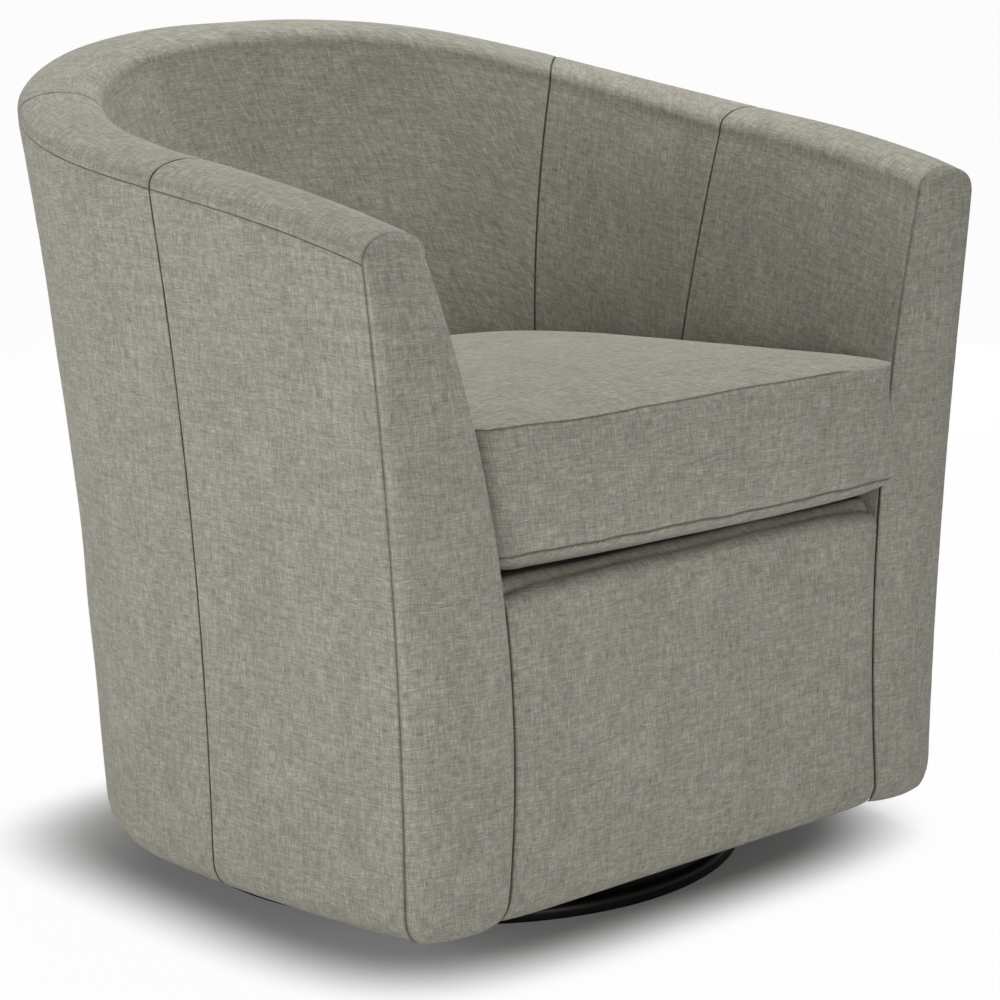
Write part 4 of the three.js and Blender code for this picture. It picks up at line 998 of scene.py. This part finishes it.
# Right front corner: how low down it turns square, where each shape begins and the width over which it sets
# in, the shares of its lean that it has at any height and low down, and how far it keeps inside the arm
LOW_SHARE = 0.15
SQUARE_RIGHT = (0, 120)
LEAN_FRONT = (206, 110)
LEAN_RIGHT = (-40, 260)
LEAN_HIGH = 0.7
LEAN_LOW = 0.3
FLARE_FRONT = (328, 10)
FLARE_RIGHT = (170, 70)
FLARE_INSET = 2.0
DROOP_FRONT = (246, 90)
DROOP_RIGHT = (150, 100)

# Seams of the cushion: how far they stray and over what waves, and their two grooves, as a depth and a width
WANDER_REACH = 22
WANDER_WAVES = (9, 45, 260)
NARROW_GROOVE = (1.9, 2.4)
WIDE_GROOVE = (1.3, 9)
CUSHION_PUCKER = 0.3

FILL_FRAMES = 20
MOST_SUNK = 0.3

# The cover in the simulation: light enough to settle, and stiffer along its yarns than across them
COVER_CLOTH = {
    "vertex_group_mass": "seams", "pin_stiffness": 1.0, "quality": 6, "mass": 0.05, "tension_stiffness": 20,
    "compression_stiffness": 12, "shear_stiffness": 8, "bending_stiffness": 0.6, "tension_damping": 20,
    "compression_damping": 20, "air_damping": 3, "use_pressure": True,
}


def smooth(value):
    """Smooth step from 0 to 1."""
    value = np.clip(value, 0, 1)
    return value * value * (3 - 2 * value)


def step(value, begin, width):
    return smooth((value - begin) / width)


def cushion_shape(place, height, inset, sizes):
    """Outline of the cushion at a height over its base. Its right front corner leads the left one, is squarer
    low down, and there it swells out in front of the arm."""
    low = 1 - smooth((height - UNDER_RISE) / BOXING * (1 + LOW_SHARE) - LOW_SHARE)
    shape = (inset, SEAT_OFFSET + height)
    x, y = seat_outline(place, CUSHION_FRONT, CUSHION_BOW, CUSHION_CORNER, *shape)
    square_x, square_y = seat_outline(place, CUSHION_FRONT, CUSHION_BOW, CUSHION_CORNER / 2, *shape)
    on_right = step(x, *SQUARE_RIGHT) * low
    x, y = lerp(x, square_x, on_right), lerp(y, square_y, on_right)
    lean = sizes.cushion_lean / MM * step(-y, *LEAN_FRONT) * step(x, *LEAN_RIGHT)
    y = y - lean * (LEAN_HIGH + LEAN_LOW * low)
    swell = sizes.cushion_flare / MM * low - FLARE_INSET
    return x + swell * step(-y, *FLARE_FRONT) * step(x, *FLARE_RIGHT), y


def cushion_grids(count, rows, sizes, skin=0.0):
    """Three grids of the cushion before it is stuffed: top, underside and boxing between them. They lie a
    skin inside the cover."""
    seam_high = UNDER_RISE + BOXING
    inset = CUSHION_CLEARANCE + PATTERN_INSET + skin
    share, place = square_rays(count)
    edge_x, edge_y = cushion_shape(place, seam_high, inset, sizes)
    x, y = edge_x * share, lerp(CUSHION_CENTRE, edge_y, share)
    dome = np.clip(1 - share ** CROWN_FLATNESS, 0, 1) ** CROWN_FULLNESS
    crown = seam_high - skin + CROWN * CROWN_SHARE * dome
    droop = sizes.corner_droop / MM * step(x, *DROOP_RIGHT) * step(-y, *DROOP_FRONT)
    top = np.stack([x, y, deck_height(y, SEAT_OFFSET + crown) - droop], -1)
    edge_x, edge_y = cushion_shape(place, UNDER_RISE, inset, sizes)
    x, y = edge_x * share, lerp(CUSHION_CENTRE, edge_y, share)
    rise = (UNDER_RISE - skin) * np.clip((share - UNDER_FLAT) / UNDER_EDGE, 0, 1) ** UNDER_POWER
    under = np.stack([x, y, deck_height(y, SEAT_OFFSET + rise + UNDER_GAP) + skin], -1)
    ring, low, high = ring_of(place), ring_of(under), ring_of(top)
    boxing = []
    for level in np.linspace(0, 1, rows + 1):
        x, y = cushion_shape(ring, UNDER_RISE + BOXING * level, inset, sizes)
        boxing.append(np.stack([x, y, lerp(low[:, 2], high[:, 2], level)], -1))
    return top, under, np.stack(boxing, 1)


def ring_of(values):
    """Values round a square grid's border, from the middle of the back through the right side, closed on
    itself."""
    middle = (len(values) - 1) // 2
    back = values[middle:, -1]
    right = values[-1, ::-1][1:]
    front = values[::-1, 0][1:]
    left = values[0, 1:]
    rest = values[1:middle + 1, -1]
    return np.concatenate([back, right, front, left, rest])[:-1]


def cushion_index(count, rows):
    """Vertex numbers of the three grids joined into one closed mesh."""
    size = (count + 1) ** 2
    top = np.arange(size).reshape(count + 1, count + 1)
    under = top + size
    ring_top = ring_of(top)
    ring_under = ring_of(under)
    middle = np.arange(len(ring_top) * (rows - 1)).reshape(len(ring_top), rows - 1) + 2 * size
    boxing = np.concatenate([ring_under[:, None], middle, ring_top[:, None]], 1)
    return top, under, boxing


def cushion_points(top, under, boxing):
    """The points of the three grids, in the order that cushion_index numbers them."""
    return np.concatenate([top.reshape(-1, 3), under.reshape(-1, 3), boxing[:, 1:-1].reshape(-1, 3)])


def cushion_faces(top, under, boxing):
    """Faces over the three grids of vertex numbers, all pointing outwards, with the boxing closed on
    itself."""
    around = np.concatenate([boxing, boxing[:1]])
    return np.concatenate([quads(top), quads(under)[:, ::-1], quads(around)[:, ::-1]])


def closed_cushion(name, top, under, boxing):
    """One closed mesh from the cushion's three grids."""
    index = cushion_index(len(top) - 1, boxing.shape[1] - 1)
    return mesh_object(name, cushion_points(top, under, boxing), cushion_faces(*index))


def stuffed(top, under, boxing, sizes):
    """The cushion's three grids after cloth simulation: air pressure fills the cover, whose seams are pinned.
    No point moves further than the cap or sinks far inwards, and the underside stays on the seat."""
    top_index, under_index, boxing_index = cushion_index(len(top) - 1, boxing.shape[1] - 1)
    points = cushion_points(top, under, boxing)
    model = closed_cushion("cushion_pattern", top, under, boxing)
    seam = np.unique(np.concatenate([ring_of(top_index), ring_of(under_index)]))
    model.vertex_groups.new(name="seams").add(seam.tolist(), 1.0, "REPLACE")
    settings = model.modifiers.new("Cloth", "CLOTH").settings
    for name, value in COVER_CLOTH.items():
        setattr(settings, name, value)
    settings.uniform_pressure_force = sizes.cushion_pressure
    settings.effector_weights.gravity = 0
    scene = bpy.context.scene
    for number in range(1, FILL_FRAMES + 1):
        scene.frame_set(number)
    evaluated = model.evaluated_get(bpy.context.evaluated_depsgraph_get())
    moved = np.empty(points.size)
    evaluated.data.vertices.foreach_get("co", moved)
    scene.frame_set(1)
    outward = np.empty(points.size)
    model.data.vertices.foreach_get("normal", outward)
    outward = outward.reshape(-1, 3)
    bpy.data.objects.remove(model)
    shift = moved.reshape(-1, 3) / MM - points
    sunk = np.minimum(np.einsum("ij,ij->i", shift, outward) + MOST_SUNK, 0)
    shift -= outward * sunk[:, None]
    length = np.linalg.norm(shift, axis=1, keepdims=True)
    cap = sizes.cushion_cap / MM
    shift = shift * (cap * np.tanh(length / cap) / np.maximum(length, 1e-6))
    resting = under_index.ravel()
    shift[resting, 2] = np.maximum(shift[resting, 2], 0)
    points = points + shift
    return points[top_index], points[under_index], points[boxing_index]


def refined(grid_points, times, axis, closed=False):
    """Grid with each step along an axis split into times, along a smooth cubic through its points."""
    points = np.moveaxis(grid_points, axis, 0)
    column = (-1,) + (1,) * (points.ndim - 1)
    count = len(points) if closed else len(points) - 1
    place = np.arange(count * times + (0 if closed else 1)) / times
    cell = np.minimum(place.astype(int), count - 1)
    share = (place - cell).reshape(column)

    def at(offset):
        wanted = cell + offset
        if closed:
            return points[wanted % len(points)]
        before = 2 * points[0] - points[1]
        after = 2 * points[-1] - points[-2]
        inside = np.where((wanted < 0).reshape(column), before, points[np.clip(wanted, 0, count)])
        return np.where((wanted > count).reshape(column), after, inside)

    a, b, c, d = at(-1), at(0), at(1), at(2)
    first = share * (c - a) / 2
    second = share ** 2 * (a - 2.5 * b + 2 * c - d / 2)
    third = share ** 3 * (1.5 * (b - c) + (d - a) / 2)
    return np.moveaxis(b + first + second + third, 0, axis)


def level_outward(points):
    """Level direction from the cushion's centre to each point."""
    way = points - np.array([0, CUSHION_CENTRE, 0])
    way[..., 2] = 0
    return way / np.maximum(np.linalg.norm(way, axis=-1, keepdims=True), 1e-6)


def cushion_skin(sizes):
    """The stuffed cushion as a fine mesh. Its two seams wander a little, sink into a narrow groove in a wide
    one and carry painted shade in their crevices."""
    top, under, boxing = cushion_grids(CUSHION_CELLS, BOXING_ROWS, sizes)
    top, under, boxing = stuffed(top, under, boxing, sizes)
    top, under = (refined(refined(face, FINER, 0), FINER, 1) for face in (top, under))
    boxing = refined(refined(boxing, FINER, 0, True), FINER * 2, 1)
    count, rows = len(top) - 1, boxing.shape[1] - 1
    index = cushion_index(count, rows)
    points = cushion_points(top, under, boxing)
    outward = level_outward(points)
    sink, shade = np.zeros((2, len(points)))
    share, place = square_rays(count)
    near_edge = np.concatenate([share.ravel(), share.ravel(), np.ones(len(points) - 2 * share.size)])
    turns = np.concatenate([place.ravel(), place.ravel(), np.repeat(ring_of(place), rows - 1)])
    girth = turns * (CUSHION_GIRTH / 4)
    height = points[:, 2] - deck_height(points[:, 1], SEAT_OFFSET)
    from_edge = (1 - near_edge) * CUSHION_REACH
    for seam, seed in ((UNDER_RISE, 61), (UNDER_RISE + BOXING, 62)):
        distance = np.hypot(height - seam, from_edge)
        wander = ripple(girth, 0 * girth, seed, *WANDER_WAVES)
        points[:, 2] += sizes.seam_wander / MM * wander * np.exp(-(distance / WANDER_REACH) ** 2)
        groove = sum(deep * np.exp(-(distance / wide) ** 2) for deep, wide in (NARROW_GROOVE, WIDE_GROOVE))
        pucker = CUSHION_PUCKER * ripple(girth, height, seed + 5, *PUCKER_WAVES)
        sink += groove + pucker * np.exp(-(distance / PUCKER_REACH) ** 2)
        # Painted shade along the crevices of the seams
        shade += THIN_SEAM_SHADE[0] * np.exp(-(distance / THIN_SEAM_SHADE[1]) ** 4)
    points -= outward * sink[:, None]
    flat = points[:, :2]
    length = np.linspace(0, CUSHION_GIRTH, len(index[2]) + 1)
    side = np.stack(grid(length, np.linspace(0, BOXING, rows + 1)), -1).reshape(-1, 2)
    side_index = np.arange(len(side)).reshape(-1, rows + 1)
    uvs = np.concatenate([flat[quads(index[0])], flat[quads(index[1])[:, ::-1]],
                          side[quads(side_index)[:, ::-1]]])
    return mesh_object("seat_cushion", points, cushion_faces(*index), uvs, shade)


def cushion_foam(sizes):
    """Foam core of the cushion, which keeps a few millimetres inside its cover."""
    return closed_cushion("cushion_foam", *cushion_grids(FOAM_CELLS, FOAM_ROWS, sizes, FOAM_SKIN))


# Base

def turned_disc():
    """Round base: a profile with rounded edges and a raised hub, turned about the swivel's axis."""
    radius, thickness, edge, foot, hub, hub_top = 279.0, 15.0, 8.0, 1.5, 135.0, 22.41
    fillet_width, fillet_rise, chamfer, support, segments = 2, 0.6, 0.8, 6, 192
    low_ring, high_ring, hub_ring = 120.0, 250.0, 70.0
    turn = np.linspace(0, np.pi / 2, 7)
    profile = [(0.0, 0.0), (low_ring, 0.0), (radius - foot - support, 0.0)]
    profile += [(radius - foot + foot * np.sin(k), foot - foot * np.cos(k)) for k in turn]
    profile += [(radius - edge + edge * np.cos(k), thickness - edge + edge * np.sin(k)) for k in turn]
    profile += [(high_ring, thickness), (hub + fillet_width, thickness), (hub, thickness + fillet_rise),
                (hub, hub_top - chamfer), (hub - chamfer, hub_top), (hub_ring, hub_top), (0.0, hub_top)]
    profile = np.array(profile)
    around, across = grid(np.linspace(0, 2 * np.pi, segments + 1), profile[:, 0])
    up = np.broadcast_to(profile[:, 1], around.shape)
    points = np.stack([across * np.cos(around), across * np.sin(around), up], -1)
    index = np.arange(around.size).reshape(around.shape)
    index[-1] = index[0]
    index[:, 0] = index[0, 0]
    index[:, -1] = index[0, -1]
    return mesh_object("round_base", points.reshape(-1, 3), quads(index))


# Settings

def number(name, description, default, **kind):
    return bpy.props.FloatProperty(name=name, description=description, default=default, **kind)


def colour(name, description, hex_colour):
    return bpy.props.FloatVectorProperty(name=name, description=description, subtype="COLOR", size=3,
                                         min=0, max=1, default=rgb(hex_colour))


class ChairSizes(bpy.types.PropertyGroup):
    seam_sink: number("Seam Sink", "How deep the cover sinks at its seams", 0.0007, unit="LENGTH")
    cloth_slack: number("Cloth Slack", "Unevenness of the stretched cover", 0.0007, unit="LENGTH")
    seam_wander: number("Seam Wander", "How far the cushion's seams stray", 0.0016, unit="LENGTH")
    cushion_lean: number("Cushion Lean", "How far its right front corner leads", 0.012, unit="LENGTH")
    cushion_flare: number("Cushion Flare", "Its swelling in front of the arm", 0.018, unit="LENGTH")
    corner_droop: number("Corner Droop", "How far that corner hangs down", 0.003, unit="LENGTH")
    cushion_pressure: number("Cushion Pressure", "Pressure that fills the cushion", 14.0)
    cushion_cap: number("Cushion Cap", "Furthest that a point of it may move", 0.009, unit="LENGTH")


class ChairColours(bpy.types.PropertyGroup):
    cloth_light: colour("Cloth Light", "Palest yarn of the cover", "bbb8ad")
    cloth_middle: colour("Cloth Middle", "Main colour of the cover", "98958b")
    cloth_dark: colour("Cloth Dark", "Darkest yarn of the cover", "747068")
    cloth_cool: colour("Cloth Cool", "Tint of the cooler patches", "fafeff")
    cloth_warm: colour("Cloth Warm", "Tint of the warmer patches", "fffdf7")
    cloth_slub: colour("Cloth Slub", "Colour of the rare thick yarns", "d2d0c4")
    # Painted shade: the dark colour painted into the crevices of the seams and the tuck under the cushion
    seam_shade_colour: colour("Seam Shade", "Colour in the depth of a seam", "2f2a24")
    foam: colour("Foam", "Colour of the foam", "e4dcb8")
    timber: colour("Timber", "Colour of the frame's timber", "c9a676")
    lining: colour("Lining", "Colour of the deck cloth and the dust cover", "1d1c1b")
    base: colour("Base", "Stain of the round base", "0f0a08")


class StudioSettings(bpy.types.PropertyGroup):
    azimuth: number("Azimuth", "Camera's turn round the chair", np.radians(-42.51), subtype="ANGLE")
    elevation: number("Elevation", "Camera's height as an angle", np.radians(12.71), subtype="ANGLE")
    distance: number("Distance", "Camera's distance from its target", 2.98742, unit="LENGTH")
    lens: number("Lens", "Focal length in millimetres on a 36 mm sensor", 108.70)
    top_power: number("Top Power", "Power of the lamp above", 46.5, unit="POWER")
    left_power: number("Left Power", "Power of the lamp at the left", 44.5, unit="POWER")
    front_power: number("Front Power", "Power of the low lamp in front", 15.2, unit="POWER")
    right_power: number("Right Power", "Power of the lamp behind at the right", 21.0, unit="POWER")
    room_light: number("Room Light", "Brightness of the room all round", 0.07)
    floor_white: number("Floor White", "How little of its shadow the floor shows", 0.97, subtype="FACTOR")


# Steps

class CHAIR_OT_outside_panels(bpy.types.Operator):
    """Makes the five panels of the outer cover"""
    bl_idname = "chair.outside_panels"
    bl_label = "Outside Panels"

    def execute(self, context):
        for number, name in enumerate(PANELS):
            panel = outside_panel(number, context.scene.chair_sizes)
            dress(panel, "LinenWeave", "tub", [f"outside_cover_{name}"])
        return {"FINISHED"}


class CHAIR_OT_inside_panels(bpy.types.Operator):
    """Makes the five panels that wrap the rim and line the inside"""
    bl_idname = "chair.inside_panels"
    bl_label = "Inside Panels"

    def execute(self, context):
        for number, name in enumerate(PANELS):
            panel = inside_panel(number, context.scene.chair_sizes)
            dress(panel, "LinenWeave", "tub", [f"inside_cover_{name}"])
        return {"FINISHED"}


class CHAIR_OT_arm_fronts(bpy.types.Operator):
    """Makes the two arm front panels and the foam behind them"""
    bl_idname = "chair.arm_fronts"
    bl_label = "Arm Fronts"

    def execute(self, context):
        for name, side in (("left", -1), ("right", 1)):
            panel = arm_front_panel(name, side, context.scene.chair_sizes)
            dress(panel, "LinenWeave", "tub", [f"arm_front_cover_{name}"])
            foam = arm_front_foam(name, side)
            dress(foam, "PolyurethaneFoam", "tub", [f"arm_front_pad_{name}"])
        return {"FINISHED"}


class CHAIR_OT_front_rail(bpy.types.Operator):
    """Makes the front rail's cover and its foam"""
    bl_idname = "chair.front_rail"
    bl_label = "Front Rail"

    def execute(self, context):
        dress(rail_panel(context.scene.chair_sizes), "LinenWeave", "tub", ["rail_cover"])
        dress(rail_foam(), "PolyurethaneFoam", "tub", ["rail_pad"])
        return {"FINISHED"}


class CHAIR_OT_seat_cushion(bpy.types.Operator):
    """Makes the stuffed seat cushion, its foam core and its zip"""
    bl_idname = "chair.seat_cushion"
    bl_label = "Seat Cushion"

    def execute(self, context):
        sizes = context.scene.chair_sizes
        dress(cushion_skin(sizes), "LinenWeave", "cushion", ["cushion_cover"])
        dress(cushion_foam(sizes), "PolyurethaneFoam", "cushion", ["cushion_core"])
        cushion_zip()
        return {"FINISHED"}


class CHAIR_OT_inner_padding(bpy.types.Operator):
    """Makes the foam of the rim and the inside, the felt pad, the deck cloth and the dust cover"""
    bl_idname = "chair.inner_padding"
    bl_label = "Inner Padding"

    def execute(self, context):
        dress(rim_foam(), "PolyurethaneFoam", "tub", ["rim_pad"])
        for name, first, last in (("left", 0, 2), ("back", 2, 3), ("right", 3, 5)):
            foam = inside_foam(name, first, last)
            dress(foam, "PolyurethaneFoam", "tub", [f"inside_pad_{name}"])
        dress(seat_felt(), "NeedledFelt", "tub", ["seat_pad"])
        deck, flat, area = stretched_sheet("deck_cloth", deck_cloth())
        dress(deck, "SpunbondLining", "tub", ["seat_deck"])
        cover, flat, area = stretched_sheet("dust_cloth", dust_cloth())
        dress(cover, "SpunbondLining", "tub", ["dust_cover"])
        return {"FINISHED"}


class CHAIR_OT_round_base(bpy.types.Operator):
    """Makes the lacquered round base"""
    bl_idname = "chair.round_base"
    bl_label = "Round Base"

    def execute(self, context):
        dress(turned_disc(), "StainedLacquer", "base", ["base_disc"])
        return {"FINISHED"}


# Finishes of the CAD nodes that stay, by the record's material slots
FINISHES = {
    "timber": "SawnPine",
    "card": "ChipboardCard",
    "steel": "ZincPlatedSteel",
    "spring_steel": "OilTemperedWire",
    "nylon": "MouldedNylon",
}


class CHAIR_OT_frame_finishes(bpy.types.Operator):
    """Gives the frame, springs, plates and screws their finishes"""
    bl_idname = "chair.frame_finishes"
    bl_label = "Frame Finishes"

    def execute(self, context):
        for part in frame["record"]["subparts"]:
            shown = frame["nodes"][part["node"]]
            finish = FINISHES.get(part["material_slot"])
            if finish and not shown.hide_render:
                for place in shown.material_slots:
                    place.material = material(finish)
        return {"FINISHED"}


# Studio: lamps as a place, a width and the setting that holds the power, all aimed at the chair's middle
LAMPS = {
    "top_lamp": ((0.4, 0.15, 2.6), 1.3, "top_power"),
    "left_lamp": ((-2.9, 0.3, 0.6), 1.4, "left_power"),
    "front_lamp": ((-0.4, -2.2, 0.35), 0.6, "front_power"),
    "right_lamp": ((2.4, 1.7, 0.7), 1.4, "right_power"),
}
CHAIR_MIDDLE = (0, 0, 0.4)
CAMERA_TARGET = (0, 0.034, 0.33072)
TARGET_RIGHT = 0.06233
FLOOR_SIZE = 60
FOOTPRINT = (0.36, 0.325, 1.0)
WHITE_FROM = 0.72
WHITE_TO = 1.4


def floor_paper(floor_white):
    """Matt background paper. For the camera alone it turns from paper that takes the chair's shadow into
    plain white, with the root of the sum of the fourth powers of both places over the chair's half sizes."""
    made, tree = new_material("FloorPaper", rgb("f2f2f2"), 0.9, Specular_IOR_Level=0.0)
    white = node(tree, "ShaderNodeEmission", values={"Color": (1, 1, 1, 1), "Strength": 1.0})
    share = node(tree, "ShaderNodeVectorMath", 0, {"operation": "DIVIDE"},
                 {0: node(tree, "ShaderNodeTexCoord", "Object")}, {1: FOOTPRINT})
    square = node(tree, "ShaderNodeVectorMath", 0, {"operation": "MULTIPLY"}, {0: share, 1: share})
    reach = node(tree, "ShaderNodeVectorMath", "Value", {"operation": "LENGTH"}, {0: square})
    away = node(tree, "ShaderNodeMapRange", 0, {"interpolation_type": "SMOOTHSTEP"}, {"Value": reach},
                {"From Min": WHITE_FROM, "From Max": WHITE_TO, "To Min": 0.0, "To Max": floor_white})
    camera = node(tree, "ShaderNodeLightPath", "Is Camera Ray")
    shown = node(tree, "ShaderNodeMath", 0, {"operation": "MULTIPLY"}, {0: camera, 1: away})
    paper = tree.nodes["Principled BSDF"].outputs["BSDF"]
    both = node(tree, "ShaderNodeMixShader", links={"Fac": shown, 1: paper, 2: white})
    tree.links.new(both, tree.nodes["Material Output"].inputs["Surface"])
    return made


def studio_room(room_light):
    """World that lights the chair evenly and faintly, and is plain white to the camera and in reflections."""
    world = bpy.data.worlds.new("StudioRoom")
    world.use_nodes = True
    tree = world.node_tree
    faint = node(tree, "ShaderNodeBackground", values={"Color": (1, 1, 1, 1), "Strength": room_light})
    white = node(tree, "ShaderNodeBackground", values={"Color": (1, 1, 1, 1), "Strength": 1.0})
    camera, glossy, through = (node(tree, "ShaderNodeLightPath", f"Is {kind} Ray")
                               for kind in ("Camera", "Glossy", "Transmission"))
    shown = node(tree, "ShaderNodeMath", 0, {"operation": "MAXIMUM"}, {0: camera, 1: glossy})
    shown = node(tree, "ShaderNodeMath", 0, {"operation": "MAXIMUM"}, {0: shown, 1: through})
    both = node(tree, "ShaderNodeMixShader", links={"Fac": shown, 1: faint, 2: white})
    tree.links.new(both, tree.nodes["World Output"].inputs["Surface"])
    return world


def area_light(name, place, size, power):
    """Round soft lamp that faces the chair's middle."""
    lamp = bpy.data.lights.new(name, "AREA")
    lamp.shape = "DISK"
    lamp.size = size
    lamp.energy = power
    made = bpy.data.objects.new(name, lamp)
    made.location = place
    made.rotation_euler = (Vector(CHAIR_MIDDLE) - Vector(place)).to_track_quat("-Z", "Y").to_euler()
    bpy.context.scene.collection.objects.link(made)


def studio_camera(settings):
    """Camera at the photo's angle: it looks back along a line turned and tilted from the front."""
    turn, tilt = settings.azimuth, settings.elevation
    right = Vector((np.cos(turn), np.sin(turn), 0))
    back = Vector((np.sin(turn) * np.cos(tilt), -np.cos(turn) * np.cos(tilt), np.sin(tilt)))
    target = right * TARGET_RIGHT + Vector(CAMERA_TARGET)
    lens = bpy.data.cameras.new("camera")
    lens.lens = settings.lens
    lens.sensor_width = 36.0
    lens.clip_end = 100.0
    made = bpy.data.objects.new("camera", lens)
    axes = Matrix((right, back.cross(right), back)).transposed().to_4x4()
    made.matrix_world = Matrix.Translation(target + back * settings.distance) @ axes
    bpy.context.scene.collection.objects.link(made)
    return made


class CHAIR_OT_studio(bpy.types.Operator):
    """Sets up the floor, the lamps, the room light and the camera"""
    bl_idname = "chair.studio"
    bl_label = "Studio"

    def execute(self, context):
        scene = context.scene
        settings = scene.chair_studio
        scene.view_settings.view_transform = "Standard"
        bpy.ops.mesh.primitive_plane_add(size=FLOOR_SIZE)
        floor = context.active_object
        floor.name = "studio_floor"
        floor.data.materials.append(floor_paper(settings.floor_white))
        scene.world = studio_room(settings.room_light)
        for name, (place, size, power) in LAMPS.items():
            area_light(name, place, size, getattr(settings, power))
        scene.camera = studio_camera(settings)
        return {"FINISHED"}


STEPS = (
    CHAIR_OT_studio, CHAIR_OT_outside_panels, CHAIR_OT_inside_panels, CHAIR_OT_arm_fronts,
    CHAIR_OT_front_rail, CHAIR_OT_seat_cushion, CHAIR_OT_inner_padding, CHAIR_OT_round_base,
    CHAIR_OT_frame_finishes,
)
SETTINGS = (("chair_sizes", ChairSizes), ("chair_colours", ChairColours), ("chair_studio", StudioSettings))


class CHAIR_PT_panel(bpy.types.Panel):
    """Lists the chair's settings and steps"""
    bl_idname = "CHAIR_PT_panel"
    bl_label = "Swivel Barrel Chair"
    bl_space_type = "VIEW_3D"
    bl_region_type = "UI"
    bl_category = "Chair"

    def draw(self, context):
        for name, group in SETTINGS:
            box = self.layout.box()
            for key in group.__annotations__:
                box.prop(getattr(context.scene, name), key)
        for step in STEPS:
            self.layout.operator(step.bl_idname)


CLASSES = (ChairSizes, ChairColours, StudioSettings, *STEPS, CHAIR_PT_panel)


def register():
    for item in CLASSES:
        bpy.utils.register_class(item)
    for name, group in SETTINGS:
        setattr(bpy.types.Scene, name, bpy.props.PointerProperty(type=group))


def unregister():
    for name, _ in SETTINGS:
        delattr(bpy.types.Scene, name)
    for item in reversed(CLASSES):
        bpy.utils.unregister_class(item)


def main():
    register()
    for step in STEPS:
        group, name = step.bl_idname.split(".")
        getattr(getattr(bpy.ops, group), name)()


if __name__ == "__main__":
    main()
